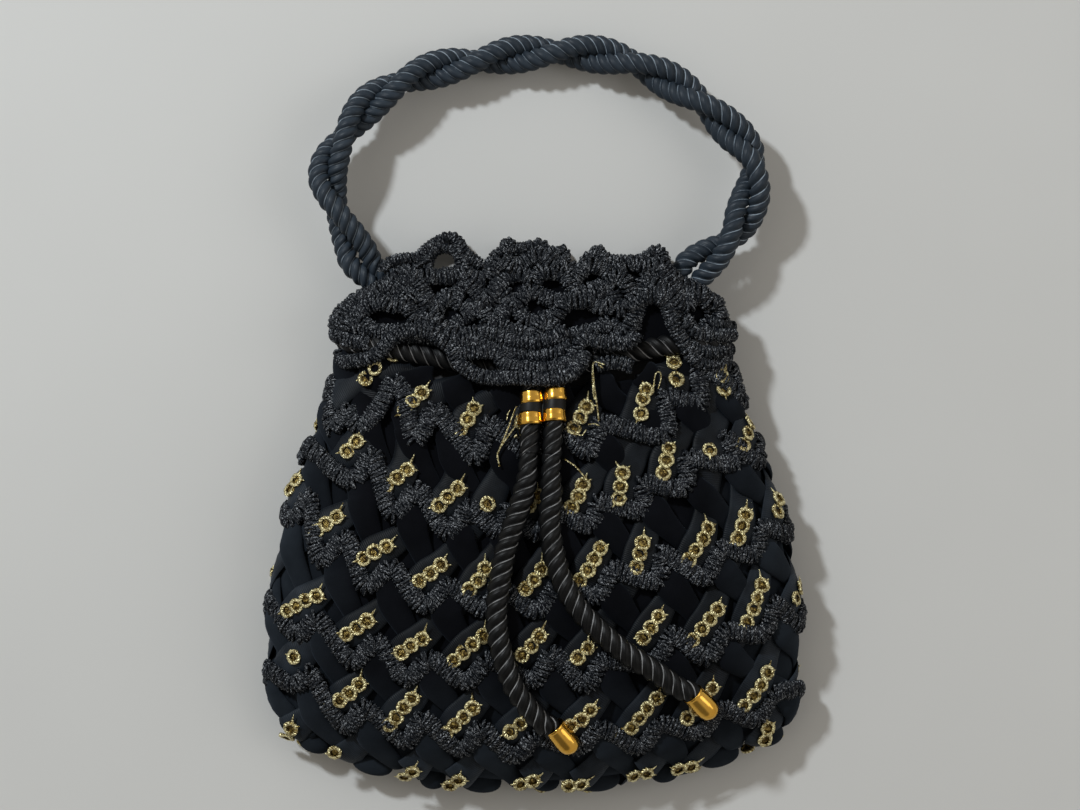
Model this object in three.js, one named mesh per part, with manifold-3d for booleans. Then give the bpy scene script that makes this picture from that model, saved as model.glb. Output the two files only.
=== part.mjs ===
import * as THREE from 'three';
import Module from 'manifold-3d';
import { mergeVertices } from 'three/addons/utils/BufferGeometryUtils.js';

const wasm = await Module();
wasm.setup();

// Woven drawstring pouch lying on its back. Millimetres. +Z out of its front, +Y towards the handle.

// Driving dimensions
const CORD_R = 4.55;           // drawstring and handle rope, radius
const WALL = 4.5;              // woven wall, thickness
const RIBBON_GAP = 0.3;        // ribbon above the woven wall
const RIBBON_T = 0.8;          // ribbon, thickness
const RIBBON_SHARE = 0.64;     // ribbon width as a share of the column pitch
const COLUMNS = 20;            // ribbons round the pouch
const RIBBON_TOP = 0.5;        // row number where the ribbons start, below the drawstring
const RIBBON_END = 5.9;        // row number where they end, above the bottom edge
const LINING_IN = 5.6;         // lining's outer face, inside the woven wall's outer face
const LINING_T = 1;            // lining, thickness
const COLLAR_WALL = 4;         // crochet collar, thickness
const SEAM = 0.3;              // gap between a front and a back half
const NECK_Z = 16.9;           // height of the collar's mid plane
const BEAD_SPACING = 10.2;     // between the two bores of the bead
const BEAD_LENGTH = 17.2;
const BEAD_BAND_R = 5.5;       // bulged bands
const BEAD_WAIST_R = 5.1;      // waist between the bands
const BEAD_BORE_R = 4.8;
const BEAD_BAND = 5.4;         // length of each bulged band
const BEAD_STEP = 1.2;         // length of the slope from a band to the waist
const BEAD_EDGE = 0.9;         // length of the rounding at each end
const BEAD_EDGE_R = 0.5;       // its drop in radius
const CAP_LENGTH = 14.4;
const CAP_MOUTH_R = 4.3;
const CAP_BELLY_R = 5.3;
const CUT_GAP = 0.4;           // between a hinged cord and its fixed end
const END_R = 3.8;             // handle's rope ends, pressed thinner where they are sewn
const HANDLE_CUT_Y = 64;       // the handle's hinge plane
const HANDLE_PAIR_R = 4.8;     // each handle rope's distance from the middle of the pair

// Woven body: row, centre y, rise of the edges, half width, edge height, crown, depth
const BODY = [
  [-0.5, 33, 8, 83, 16.9, 12.6, 12.6],
  [0, 19, 14, 81.5, 16.9, 12.3, 12.3],
  [0.15, 15.5, 15, 82.5, 16.7, 12.8, 12.6],
  [0.35, 11.6, 16, 86, 15.6, 17.5, 14.3],
  [1, -2, 20, 88, 14.6, 21.5, 13.4],
  [2, -38, 27, 98, 14, 27.5, 12.8],
  [3, -75, 34, 109.5, 14, 30, 12.8],
  [4, -105, 28, 117, 14, 29.5, 12.8],
  [5, -138, 27, 118.5, 13.4, 23, 12.2],
  [5.6, -156, 26, 117, 12.6, 15, 10.5],
  [6, -167, 26, 114.5, 11.6, 7, 6.5],
  [6.15, -171, 28, 112, 11, 1.3, 1.3],
];

// Collar: the same columns
const COLLAR = [
  [0, 24.8, 13.5, 87, NECK_Z, 16, 16],
  [0.35, 40, 4, 90, NECK_Z, 17, 16.2],
  [0.7, 58, -8, 87, NECK_Z, 15.5, 15.6],
  [1, 76, -25, 83, NECK_Z, 13.8, 12.6],
  [1.2, 88, -32, 82, NECK_Z, 12.6, 12],
];

// Row of a table at any row number, by a cubic through the rows
function rowAt(table, v) {
  let k = 0;
  while (k < table.length - 2 && v > table[k + 1][0]) {
    k += 1;
  }
  const slope = (i, c) => {
    const lo = table[Math.max(i - 1, 0)];
    const hi = table[Math.min(i + 1, table.length - 1)];
    return (hi[c] - lo[c]) / (hi[0] - lo[0]);
  };
  const span = table[k + 1][0] - table[k][0];
  const t = (v - table[k][0]) / span;
  return table[k].map((a, c) => {
    const b = table[k + 1][c];
    const ma = slope(k, c) * span;
    const mb = slope(k + 1, c) * span;
    const t2 = t * t;
    const t3 = t2 * t;
    return (2 * t3 - 3 * t2 + 1) * a + (t3 - 2 * t2 + t) * ma
      + (3 * t2 - 2 * t3) * b + (t3 - t2) * mb;
  });
}

// A point of a section. side is 1 on the front and -1 on the back, across runs from -1 to 1.
function sectionPoint(row, across, side, inset, powers) {
  const [, y, rise, half, edge, crown, depth] = row;
  const reach = (side > 0 ? crown : depth) - inset;
  const power = side > 0 ? powers[0] : powers[1];
  const lift = Math.max(reach, 0.5) * Math.sqrt(Math.max(0, 1 - Math.abs(across) ** power));
  return [(half - inset) * across, y + rise * across * across, edge + side * lift];
}

const BODY_POWERS = [2.6, 5];
const COLLAR_POWERS = [4, 4];

function acrossSteps(count) {
  return Array.from({ length: count + 1 }, (_, i) => Math.sin((0.5 - i / count) * Math.PI));
}

// Ring of points round a section: whole, or only the front or back half closed by its chord
function ring(row, inset, powers, kind, count) {
  const steps = acrossSteps(count);
  const back = steps.slice(1, -1).reverse();
  if (kind === 'whole') {
    const front = steps.map((a) => sectionPoint(row, a, 1, inset, powers));
    return front.concat(back.map((a) => sectionPoint(row, a, -1, inset, powers)));
  }
  const side = kind === 'front' ? 1 : -1;
  const shift = (p) => [p[0], p[1], p[2] + side * SEAM / 2];
  const outer = steps.map((a) => shift(sectionPoint(row, side * a, side, inset, powers)));
  const chord = back.map((b) => {
    const a = side * b;
    const p = sectionPoint(row, a, side, inset, powers);
    return shift([p[0], p[1], row[4]]);
  });
  return outer.concat(chord);
}

function signedVolume(points, faces) {
  return faces.reduce((sum, [i, j, k]) => {
    const [a, b, c] = [points[i], points[j], points[k]];
    return sum + a[0] * (b[1] * c[2] - b[2] * c[1])
      + a[1] * (b[2] * c[0] - b[0] * c[2])
      + a[2] * (b[0] * c[1] - b[1] * c[0]);
  }, 0);
}

function solidOf(points, faces) {
  const outward = signedVolume(points, faces) > 0;
  const ordered = outward ? faces : faces.map(([a, b, c]) => [a, c, b]);
  return new wasm.Manifold(new wasm.Mesh({
    numProp: 3,
    vertProperties: new Float32Array(points.flat()),
    triVerts: new Uint32Array(ordered.flat()),
  }));
}

// Closed solid through rings of equal count. Its ends are closed in strips across the ring.
function loft(rings) {
  const n = rings[0].length;
  const faces = [];
  for (let r = 0; r < rings.length - 1; r += 1) {
    for (let i = 0; i < n; i += 1) {
      const j = (i + 1) % n;
      faces.push([r * n + i, (r + 1) * n + i, (r + 1) * n + j]);
      faces.push([r * n + i, (r + 1) * n + j, r * n + j]);
    }
  }
  for (const [r, flip] of [[0, false], [rings.length - 1, true]]) {
    for (let i = 0; 2 * i < n - 1; i += 1) {
      const quad = [i, i + 1, (n - i - 1 + n) % n, (n - i) % n].map((k) => r * n + k);
      for (const [a, b, c] of [[0, 1, 2], [0, 2, 3]]) {
        const face = [quad[a], quad[b], quad[c]];
        if (new Set(face).size === 3) {
          faces.push(flip ? [face[0], face[2], face[1]] : face);
        }
      }
    }
  }
  return solidOf(rings.flat(), faces);
}

function between(table, rows, inset, powers, kind, count) {
  return loft(rows.map((v) => ring(rowAt(table, v), inset, powers, kind, count)));
}

function fromGeometry(geometry) {
  geometry.deleteAttribute('normal');
  geometry.deleteAttribute('uv');
  const merged = mergeVertices(geometry, 1e-4);
  const flat = Array.from(merged.attributes.position.array);
  const index = Array.from(merged.index.array);
  const points = Array.from({ length: flat.length / 3 }, (_, i) => flat.slice(3 * i, 3 * i + 3));
  const faces = Array.from({ length: index.length / 3 }, (_, i) => index.slice(3 * i, 3 * i + 3));
  return solidOf(points, faces);
}

const pouch = new THREE.Group();
pouch.name = 'woven_drawstring_pouch';

const LOOKS = {
  weave: { color: 0x101114, roughness: 0.9, metalness: 0 },
  ribbon: { color: 0x24272e, roughness: 0.6, metalness: 0 },
  lining: { color: 0x0d0d0f, roughness: 0.7, metalness: 0 },
  crochet: { color: 0x17181c, roughness: 0.95, metalness: 0 },
  cord: { color: 0x15171b, roughness: 0.45, metalness: 0 },
  gold: { color: 0xd99a2b, roughness: 0.18, metalness: 1 },
};

function add(name, solid, look) {
  const mesh = solid.getMesh();
  const geometry = new THREE.BufferGeometry();
  geometry.setAttribute('position', new THREE.BufferAttribute(new Float32Array(mesh.vertProperties), 3));
  geometry.setIndex(new THREE.BufferAttribute(new Uint32Array(mesh.triVerts), 1));
  const part = new THREE.Mesh(geometry, new THREE.MeshStandardMaterial(LOOKS[look]));
  part.name = name;
  pouch.add(part);
}

// Woven wall, front and back halves
const AROUND = 14;
const wallRows = [0.35, 1, 2, 3, 4, 5, 5.6, 5.9, 6.15];
const hollowRows = [0.2, 0.35, 1, 2, 3, 4, 5, 5.6, 5.85];
const hollow = between(BODY, hollowRows, WALL, BODY_POWERS, 'whole', AROUND);
for (const half of ['front', 'back']) {
  const shell = between(BODY, wallRows, 0, BODY_POWERS, half, AROUND).subtract(hollow);
  add(`woven_${half}`, shell, 'weave');
}

// Lining bag, open at the neck
const liningRows = [-0.42, 0, 0.15, 0.35, 1, 2, 3, 4, 5, 5.6, 5.8];
const liningHollowRows = [-0.5, 0, 0.15, 0.35, 1, 2, 3, 4, 5, 5.6, 5.76];
const lining = between(BODY, liningRows, LINING_IN, BODY_POWERS, 'whole', AROUND)
  .subtract(between(BODY, liningHollowRows, LINING_IN + LINING_T, BODY_POWERS, 'whole', AROUND))
  .simplify(0.05);
add('lining_bag', lining, 'lining');

// Point at a share of the way round the outer face, counted from the front's middle towards -X
function roundPoint(v, share, inset) {
  const row = rowAt(BODY, v);
  const fine = ring(row, inset, BODY_POWERS, 'whole', 60);
  const n = fine.length;
  const start = n / 4;
  const loop = Array.from({ length: n + 1 }, (_, i) => fine[(start + i) % n]);
  const at = [0];
  for (let i = 1; i <= n; i += 1) {
    const [a, b] = [loop[i - 1], loop[i]];
    at.push(at[i - 1] + Math.hypot(a[0] - b[0], a[2] - b[2]));
  }
  const want = (share - Math.floor(share)) * at[n];
  let k = 0;
  while (k < n - 1 && at[k + 1] < want) {
    k += 1;
  }
  const t = (want - at[k]) / (at[k + 1] - at[k]);
  return loop[k].map((x, c) => x + t * (loop[k + 1][c] - x));
}

// Chain ribbons: bands cut from a thin layer over the woven wall, one column over per row
const layerRows = wallRows.slice(0, -1);
const layer = between(BODY, layerRows, -RIBBON_GAP - RIBBON_T, BODY_POWERS, 'whole', AROUND)
  .subtract(between(BODY, [0.3, ...layerRows, 6.1], -RIBBON_GAP, BODY_POWERS, 'whole', AROUND));
const ribbonRows = [RIBBON_TOP, 1, 1.5, 2, 2.5, 3, 3.5, 4, 4.5, 5, 5.3, 5.6, RIBBON_END];
const halfShare = RIBBON_SHARE / COLUMNS / 2;
for (let k = 0; k < COLUMNS; k += 1) {
  const wedge = ribbonRows.map((v) => {
    const middle = (k + v) / COLUMNS;
    const edges = [middle - halfShare, middle + halfShare].map((share) => roundPoint(v, share, 0));
    const centre = [0, (edges[0][1] + edges[1][1]) / 2, rowAt(BODY, v)[4]];
    return [centre, ...edges.map((p) => p.map((x, c) => centre[c] + 1.4 * (x - centre[c])))];
  });
  const band = layer.intersect(loft(wedge)).simplify(0.09);
  add(`chain_ribbon_${String(k + 1).padStart(2, '0')}`, band, 'ribbon');
}

// Crochet collar, front and back layers
const collarRows = [0, 0.2, 0.4, 0.6, 0.8, 1];
const collarHollow = between(COLLAR, [-0.1, 0.2, 0.4, 0.6, 0.8, 1.1], COLLAR_WALL, COLLAR_POWERS, 'whole', 16);
for (const half of ['front', 'back']) {
  const shell = between(COLLAR, collarRows, 0, COLLAR_POWERS, half, 16).subtract(collarHollow);
  add(`collar_${half}`, shell, 'crochet');
}

// Round tube through hand-chosen points
function tube(points, radius, steps, sides) {
  const path = new THREE.CatmullRomCurve3(points.map((p) => new THREE.Vector3(...p)), false, 'centripetal');
  path.arcLengthDivisions = 800;
  const outline = new THREE.Shape();
  for (let i = 0; i < sides; i += 1) {
    const a = (2 * Math.PI * i) / sides;
    const [x, y] = [radius * Math.cos(a), radius * Math.sin(a)];
    if (i === 0) {
      outline.moveTo(x, y);
    } else {
      outline.lineTo(x, y);
    }
  }
  outline.closePath();
  return fromGeometry(new THREE.ExtrudeGeometry(outline, { steps, bevelEnabled: false, extrudePath: path, curveSegments: 1 }));
}

// The two straight cords that the bead slides on
const slide = new THREE.Vector3(-0.052, -0.981, 0.186).normalize();
const sideways = new THREE.Vector3(1, 0, 0).addScaledVector(slide, -slide.x).normalize();
const beadCentre = new THREE.Vector3(4.05, 2.9, 42.1);

function onCord(side, along) {
  return beadCentre.clone()
    .addScaledVector(sideways, (side * BEAD_SPACING) / 2)
    .addScaledVector(slide, along)
    .toArray();
}

const HINGE_ALONG = 29.5;      // from the bead's centre to where the tails start to swing
const SLIDE_TOP = -10.5;       // from the bead's centre to where the straight cords begin

// Drawstring round the neck and out at the front, one piece
const neckLeft = [
  [-6, 18.6, 31], [-16, 19.3, 28.9], [-40, 21.8, 28.9], [-62, 25.6, 28.9], [-74, 28.6, 28.2],
  [-82, 31.2, 23.4], [-84.2, 32.2, 16.9], [-82, 31.2, 10.4], [-74, 28.6, 5.6], [-62, 25.6, 4.95],
  [-40, 21.8, 4.95], [-16, 19.3, 4.95],
];
const neckRight = neckLeft.map(([x, y, z]) => [-x, y, z]);
neckRight[0] = [14.5, 18.6, 31];
neckRight[1] = [24, 19.5, 28.9];
const straight = [HINGE_ALONG + 1, 20, 9, -1, SLIDE_TOP + 1, SLIDE_TOP];
const drawstring = [
  ...straight.map((t) => onCord(-1, t)), [-1.6, 17, 36],
  ...neckLeft,
  [0, 19, 4.95],
  ...neckRight.slice().reverse(),
  [10.2, 17, 36], ...straight.slice().reverse().map((t) => onCord(1, t)),
];
const hingePlane = slide.dot(beadCentre) + HINGE_ALONG;
const neckCord = tube(drawstring, CORD_R, 64, 8)
  .trimByPlane(slide.clone().negate().toArray(), -(hingePlane - CUT_GAP / 2));
add('drawstring_neck', neckCord, 'cord');

// Bead: two banded barrels side by side, bored through
function barrel(radius, length) {
  const half = length / 2;
  const waist = half - BEAD_BAND - BEAD_STEP;
  const profile = [
    [0, -half], [radius - BEAD_EDGE_R, -half], [radius, -half + BEAD_EDGE], [radius, -half + BEAD_BAND],
    [BEAD_WAIST_R, -waist], [BEAD_WAIST_R, waist], [radius, half - BEAD_BAND],
    [radius, half - BEAD_EDGE], [radius - BEAD_EDGE_R, half], [0, half],
  ].map((p) => new THREE.Vector2(...p));
  return fromGeometry(new THREE.LatheGeometry(profile, 18));
}

const bore = fromGeometry(new THREE.CylinderGeometry(BEAD_BORE_R, BEAD_BORE_R, 2 * BEAD_LENGTH, 18));
const web = fromGeometry(new THREE.BoxGeometry(3, BEAD_LENGTH - 3, 5));
let bead = web;
for (const side of [-1, 1]) {
  bead = bead.add(barrel(BEAD_BAND_R, BEAD_LENGTH).translate([(side * BEAD_SPACING) / 2, 0, 0]));
}
for (const side of [-1, 1]) {
  bead = bead.subtract(bore.translate([(side * BEAD_SPACING) / 2, 0, 0]));
}

// Turns a solid whose length runs along Y so that its +Y end points against a direction
function placed(solid, direction, across, at) {
  const up = direction.clone().negate();
  const out = new THREE.Vector3().crossVectors(across, up).normalize();
  const side = new THREE.Vector3().crossVectors(up, out).normalize();
  const m = new THREE.Matrix4().makeBasis(side, up, out).setPosition(at);
  return solid.transform(m.toArray());
}

add('cord_bead', placed(bead, slide, sideways, beadCentre), 'gold');

// Tails, from the end of the straight cords to the end caps
const tailLeft = [
  onCord(-1, HINGE_ALONG - 1), onCord(-1, HINGE_ALONG + 2), [-5.3, -38.6, 48.6], [-9.6, -51.5, 49.4], [-13.1, -63.5, 50.4],
  [-14.8, -73.8, 50.9], [-16.2, -83.8, 51], [-16.2, -93.2, 51], [-14.8, -102.7, 50.7],
  [-12.2, -112.2, 49.8], [-8.3, -121.7, 48.2], [-2.3, -130.3, 46], [3.7, -137.2, 43.7],
  [7.1, -140.1, 42.4], [9.3, -142.8, 41.2],
];
const tailRight = [
  onCord(1, HINGE_ALONG - 1), onCord(1, HINGE_ALONG + 2), [7.8, -36, 48.5], [6.9, -46.5, 49.1], [8.2, -58, 50], [11.5, -71.3, 50.8],
  [16.8, -82, 51], [25.2, -92.4, 50.8], [39.9, -105.3, 49.5], [54.5, -116.5, 46.5], [62.3, -122.5, 44.2],
  [69, -125.4, 43], [70.8, -127.8, 41.6],
];
for (const [name, points] of [['left', tailLeft], ['right', tailRight]]) {
  const tail = tube(points, CORD_R, 22, 8).trimByPlane(slide.toArray(), hingePlane + CUT_GAP / 2);
  add(`drawstring_tail_${name}`, tail, 'cord');
}

// End caps: bells with a dished mouth at the cord and a domed end
const cap = fromGeometry(new THREE.LatheGeometry([
  [0, -1.4], [CAP_MOUTH_R - 0.7, -1.4], [CAP_MOUTH_R - 0.5, 0], [CAP_MOUTH_R, 0],
  [CAP_MOUTH_R + 0.5, -3], [CAP_BELLY_R, -6.5], [CAP_BELLY_R, -9.5], [4.6, -12], [3, -13.7], [0, -CAP_LENGTH],
].map((p) => new THREE.Vector2(...p)).reverse(), 16));
const capSpots = [
  ['end_cap_left', new THREE.Vector3(9.6, -143.2, 41), new THREE.Vector3(7.8, -11.4, -5.4)],
  ['end_cap_right', new THREE.Vector3(71.2, -128.3, 41.3), new THREE.Vector3(8.2, -10.9, -6.2)],
];
for (const [name, mouth, direction] of capSpots) {
  add(name, placed(cap, direction.normalize(), new THREE.Vector3(1, 0, 0), mouth), 'gold');
}

// Handle: two ropes laid round each other along an arch, with their ends inside the collar
const arch = [
  [-74.9, 61.6, 16.9], [-76.1, 64.1, 16.9], [-82.5, 77.5, 18.6], [-89.3, 92.2, 19.6], [-93, 108.5, 19.6], [-85.5, 124.9, 19],
  [-73.6, 140, 17.6], [-57.7, 150.7, 14.6], [-41.2, 156.3, 12], [-27.6, 159.2, 10.6], [-8.3, 162.5, 10],
  [8.9, 163.8, 10], [26, 162.9, 10], [44.3, 158.9, 11.4], [60.4, 150.7, 13.8], [74.2, 141.3, 16.6],
  [86.8, 129.4, 18.4], [97.6, 117, 19.4], [98.8, 103, 19.8], [95.3, 90.5, 19.4], [88.7, 78.2, 18.6],
  [71.7, 64.3, 16.9], [69.2, 62.3, 16.9],
];
const archCurve = new THREE.CatmullRomCurve3(arch.map((p) => new THREE.Vector3(...p)), false, 'centripetal');
archCurve.arcLengthDivisions = 800;
const archLength = archCurve.getLength();
const FIRST_CROSSING = 34;     // along the arch to where the ropes first cross
const LAST_CROSSING = 24;      // from the last crossing to the arch's other end
const CROSSINGS = 9;
const SIDE_BY_SIDE = 7;        // length at each end where the ropes lie side by side
const halfTwist = (archLength - FIRST_CROSSING - LAST_CROSSING) / (CROSSINGS - 1);

// Half turns of the pair since its first crossing
function turnsAt(s) {
  const before = (FIRST_CROSSING - s) / (FIRST_CROSSING - SIDE_BY_SIDE);
  const after = (s - archLength + LAST_CROSSING) / (LAST_CROSSING - SIDE_BY_SIDE);
  if (before > 0) {
    return -0.5 * Math.min(before, 1);
  }
  if (after > 0) {
    return CROSSINGS - 1 + 0.5 * Math.min(after, 1);
  }
  return (s - FIRST_CROSSING) / halfTwist;
}

function ropePoints(phase) {
  const count = 70;
  return Array.from({ length: count + 1 }, (_, i) => {
    const at = archCurve.getPointAt(i / count);
    const along = archCurve.getTangentAt(i / count);
    const out = new THREE.Vector3(-along.y, along.x, 0).normalize();
    const up = new THREE.Vector3().crossVectors(out, along).negate();
    const angle = phase + Math.PI * (0.5 - turnsAt((i / count) * archLength));
    return at.addScaledVector(out, HANDLE_PAIR_R * Math.cos(angle))
      .addScaledVector(up, HANDLE_PAIR_R * Math.sin(angle)).toArray();
  });
}

for (const [name, phase] of [['handle_rope_a', 0], ['handle_rope_b', Math.PI]]) {
  const rope = tube(ropePoints(phase), CORD_R, 62, 8).trimByPlane([0, 1, 0], HANDLE_CUT_Y + CUT_GAP / 2);
  add(name, rope, 'cord');
}

// The handle's rope ends inside the collar, two at each side
const ENDS = {
  left: [[-73, 66, 16.7], [-67.2, 57, 16.5], [-63, 50, 16.5], [-59.4, 43, 16.5]],
  right: [[73, 66, 16.9], [67.4, 57, 16.7], [63.4, 50, 16.5], [60, 43, 16.5]],
};
for (const [side, points] of Object.entries(ENDS)) {
  for (const [place, shift] of [['outer', 1], ['inner', -1]]) {
    const outward = side === 'left' ? -shift : shift;
    const path = points.map(([x, y, z]) => [x + outward * HANDLE_PAIR_R, y, z]);
    const end = tube(path, END_R, 5, 8).trimByPlane([0, -1, 0], -(HANDLE_CUT_Y - CUT_GAP / 2));
    add(`handle_end_${side}_${place}`, end, 'cord');
  }
}

export default pouch;
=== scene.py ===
"""Woven drawstring pouch lying on its back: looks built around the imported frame.
Points are worked out in millimetres, in the solids' own axes, and turned to metres when a mesh is made."""

import bpy
import numpy as np
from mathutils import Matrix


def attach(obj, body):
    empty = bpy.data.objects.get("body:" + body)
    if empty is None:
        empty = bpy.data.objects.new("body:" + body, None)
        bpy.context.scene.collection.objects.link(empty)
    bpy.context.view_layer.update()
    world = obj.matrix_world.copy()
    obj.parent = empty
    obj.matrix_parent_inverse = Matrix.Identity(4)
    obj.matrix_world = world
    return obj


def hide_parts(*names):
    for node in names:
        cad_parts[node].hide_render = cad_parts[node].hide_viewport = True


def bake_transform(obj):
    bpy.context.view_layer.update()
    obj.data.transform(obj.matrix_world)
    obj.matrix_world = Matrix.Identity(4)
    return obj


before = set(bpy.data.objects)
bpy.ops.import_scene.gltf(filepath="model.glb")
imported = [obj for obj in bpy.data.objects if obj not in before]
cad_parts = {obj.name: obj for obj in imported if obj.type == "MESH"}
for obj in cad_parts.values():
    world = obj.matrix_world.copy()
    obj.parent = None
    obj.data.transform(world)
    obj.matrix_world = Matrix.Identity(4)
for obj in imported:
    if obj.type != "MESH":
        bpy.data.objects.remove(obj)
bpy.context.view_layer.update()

MM = 0.001
TURN = 2 * np.pi
rng = np.random.default_rng(11)
scene = bpy.context.scene

# Sizes shared with the solids, in millimetres
CORD_R = 4.55
CORD_FULL_R = 4.95
CORD_CREST_R = 5.25
COLUMNS = 20
BEAD_SPACING = 10.2
BEAD_LENGTH = 17.2
HANDLE_PAIR_R = 4.8
ROPE_CLOSE_R = 3.9
HANDLE_CUT_Y = 64
HINGE_ALONG = 29.5
BEAD_CLEAR_R = 5.75
SLIDE_TOP = -10.5
BEAD_TRAVEL = 18
# Steps between the rings of a cord's path and of a crochet band's path
CORD_STEP, BAND_STEP = 0.75, 0.6

# Row number, centre y, rise of the edges, half width, edge height, crown, depth
BODY = np.array([
    [-0.5, 33, 8, 83, 16.9, 12.6, 12.6], [0, 19, 14, 81.5, 16.9, 12.3, 12.3],
    [0.15, 15.5, 15, 82.5, 16.7, 12.8, 12.6], [0.35, 11.6, 16, 86, 15.6, 17.5, 14.3],
    [1, -2, 20, 88, 14.6, 21.5, 13.4], [2, -38, 27, 98, 14, 27.5, 12.8],
    [3, -75, 34, 109.5, 14, 30, 12.8], [4, -105, 28, 117, 14, 29.5, 12.8],
    [5, -138, 27, 118.5, 13.4, 23, 12.2], [5.6, -156, 26, 117, 12.6, 15, 10.5],
    [6, -167, 26, 114.5, 11.6, 7, 6.5], [6.15, -171, 28, 112, 11, 1.3, 1.3],
])
COLLAR = np.array([
    [-0.5, 4, 19, 83, 16.9, 15.5, 14], [0, 24.8, 13.5, 87, 16.9, 16, 16], [0.35, 40, 4, 90, 16.9, 17, 16.2],
    [0.7, 58, -8, 87, 16.9, 15.5, 15.6], [1, 76, -25, 83, 16.9, 13.8, 12.6], [1.2, 88, -32, 82, 16.9, 12.6, 12],
    [1.5, 106, -44, 80, 16.9, 12, 11.5],
])


def unit(vectors):
    """Vectors divided by their lengths."""
    return vectors / np.maximum(np.linalg.norm(vectors, axis=-1, keepdims=True), 1e-12)


def square_to(vectors, along):
    """Unit vectors turned square to a direction."""
    return unit(vectors - (vectors * along).sum(-1, keepdims=True) * along)


def swing(angle, a, b):
    """The vectors cos(angle) * a + sin(angle) * b."""
    return np.cos(angle)[..., None] * a + np.sin(angle)[..., None] * b


def signed(value, power):
    """Values raised to a power, with their signs kept."""
    return np.sign(value) * np.abs(value) ** power


def tangents(path):
    """Directions along a path."""
    return unit(np.gradient(path, axis=0))


def run(path):
    """Distance along a path at each of its points."""
    return np.concatenate([[0], np.cumsum(np.linalg.norm(np.diff(path, axis=0), axis=1))])


def read_at(want, at, values):
    """Rows of values that stand at some distances, read at others."""
    return np.stack([np.interp(want, at, c) for c in values.T], -1)


def cubic(t, a, b, slope_a, slope_b):
    """A cubic from a to b with a slope at each end."""
    return ((2 * t**3 - 3 * t**2 + 1) * a + (t**3 - 2 * t**2 + t) * slope_a
            + (3 * t**2 - 2 * t**3) * b + (t**3 - t**2) * slope_b)


def rows_at(table, v):
    """Rows of a table at any row numbers: cubics with the slopes of the chords between neighbours."""
    knots, last = table[:, 0], len(table) - 1
    low = np.maximum(np.arange(last + 1) - 1, 0)
    high = np.minimum(np.arange(last + 1) + 1, last)
    slope = (table[high] - table[low]) / (knots[high] - knots[low])[:, None]
    k = np.clip(np.searchsorted(knots, v, side="right") - 1, 0, last - 1)
    span = (knots[k + 1] - knots[k])[:, None]
    return cubic((v - knots[k])[:, None] / span, table[k], table[k + 1], slope[k] * span, slope[k + 1] * span)


class Skin:
    """A closed section swept along its row numbers, held as grids of points, slopes and normals.
    A section's point is x = half * X, y = centre + rise * X^2, z = edge +- reach * sqrt(1 - |X|^power);
    the share of the way round is measured along x and z from the front's middle towards -X."""

    def __init__(self, table, powers, low, high):
        self.low, self.high, self.rows, self.shares = low, high, 420, 720
        row = rows_at(table, np.linspace(low, high, self.rows))
        angle = np.linspace(0, TURN, 2 * self.shares + 1)
        across = -np.sin(angle)
        front = np.cos(angle) >= 0
        power = np.where(front, *powers)
        lift = np.sqrt(np.maximum(0, 1 - np.abs(across) ** power))
        reach = np.where(front[None], row[:, 5:6], -row[:, 6:7])
        x = row[:, 3:4] * across[None]
        y = row[:, 1:2] + row[:, 2:3] * across[None] ** 2
        z = row[:, 4:5] + reach * lift[None]
        step = np.hypot(np.diff(x), np.diff(z))
        at = np.concatenate([np.zeros((self.rows, 1)), np.cumsum(step, 1)], 1)
        want = np.linspace(0, 1, self.shares + 1)
        self.points = np.stack([np.stack([np.interp(want, a / a[-1], c) for a, c in zip(at, grid)])
                                for grid in (x, y, z)], -1)
        around = (np.roll(self.points[:, :-1], -1, 1) - np.roll(self.points[:, :-1], 1, 1)) / 2
        around = np.concatenate([around, around[:, :1]], 1)
        self.around = around * (self.shares / COLUMNS)
        self.down = np.gradient(self.points, (high - low) / (self.rows - 1), axis=0)
        self.out = unit(np.cross(self.around, self.down))
        self.out *= np.sign(self.out[self.rows // 2, 0, 2])

    def sample(self, grid, u, v):
        """Grid value between its four neighbours; u counts columns round the skin, v is the row number."""
        s = (u / COLUMNS % 1) * self.shares
        r = np.clip((v - self.low) / (self.high - self.low), 0, 1) * (self.rows - 1)
        i, j = np.minimum(s.astype(int), self.shares - 1), np.minimum(r.astype(int), self.rows - 2)
        a, b = (s - i)[..., None], (r - j)[..., None]
        return ((1 - b) * ((1 - a) * grid[j, i] + a * grid[j, i + 1])
                + b * ((1 - a) * grid[j + 1, i] + a * grid[j + 1, i + 1]))

    def at(self, u, v, lift=0.0):
        """Points at a height above the skin."""
        u, v = np.broadcast_arrays(np.asarray(u, float), np.asarray(v, float))
        points = self.sample(self.points, u, v) + np.asarray(lift)[..., None] * unit(self.sample(self.out, u, v))
        points[..., 2] = above_table(points[..., 2])
        return points

    def plane(self, u, v):
        """Length of a step in u, and a step in v along it and square to it."""
        pu, pv = self.sample(self.around, u, v), self.sample(self.down, u, v)
        size = np.linalg.norm(pu, axis=-1)
        along = (pv * pu).sum(-1) / size
        return size, along, np.linalg.norm(pv - along[..., None] * unit(pu), axis=-1)

    def move(self, u, v, right, up):
        """u and v after a move in the skin's own plane, right towards lower u and up towards lower v."""
        u, v, right, up = (np.asarray(a, float) for a in (u, v, right, up))
        size, along, clear = self.plane(u, v)
        dv = -up / clear
        return u - (right + dv * along) / size, v + dv

    def find(self, x, y):
        """u and v of the front's point nearest to x and y, seen from above."""
        rows, shares = np.arange(0, self.rows, 2), np.arange(-176, 177)
        part = self.points[rows][:, shares % self.shares]
        miss = (part[..., 0] - x) ** 2 + (part[..., 1] - y) ** 2
        j, i = np.unravel_index(np.argmin(miss), miss.shape)
        return shares[i] * COLUMNS / self.shares, self.low + rows[j] * (self.high - self.low) / (self.rows - 1)


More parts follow.
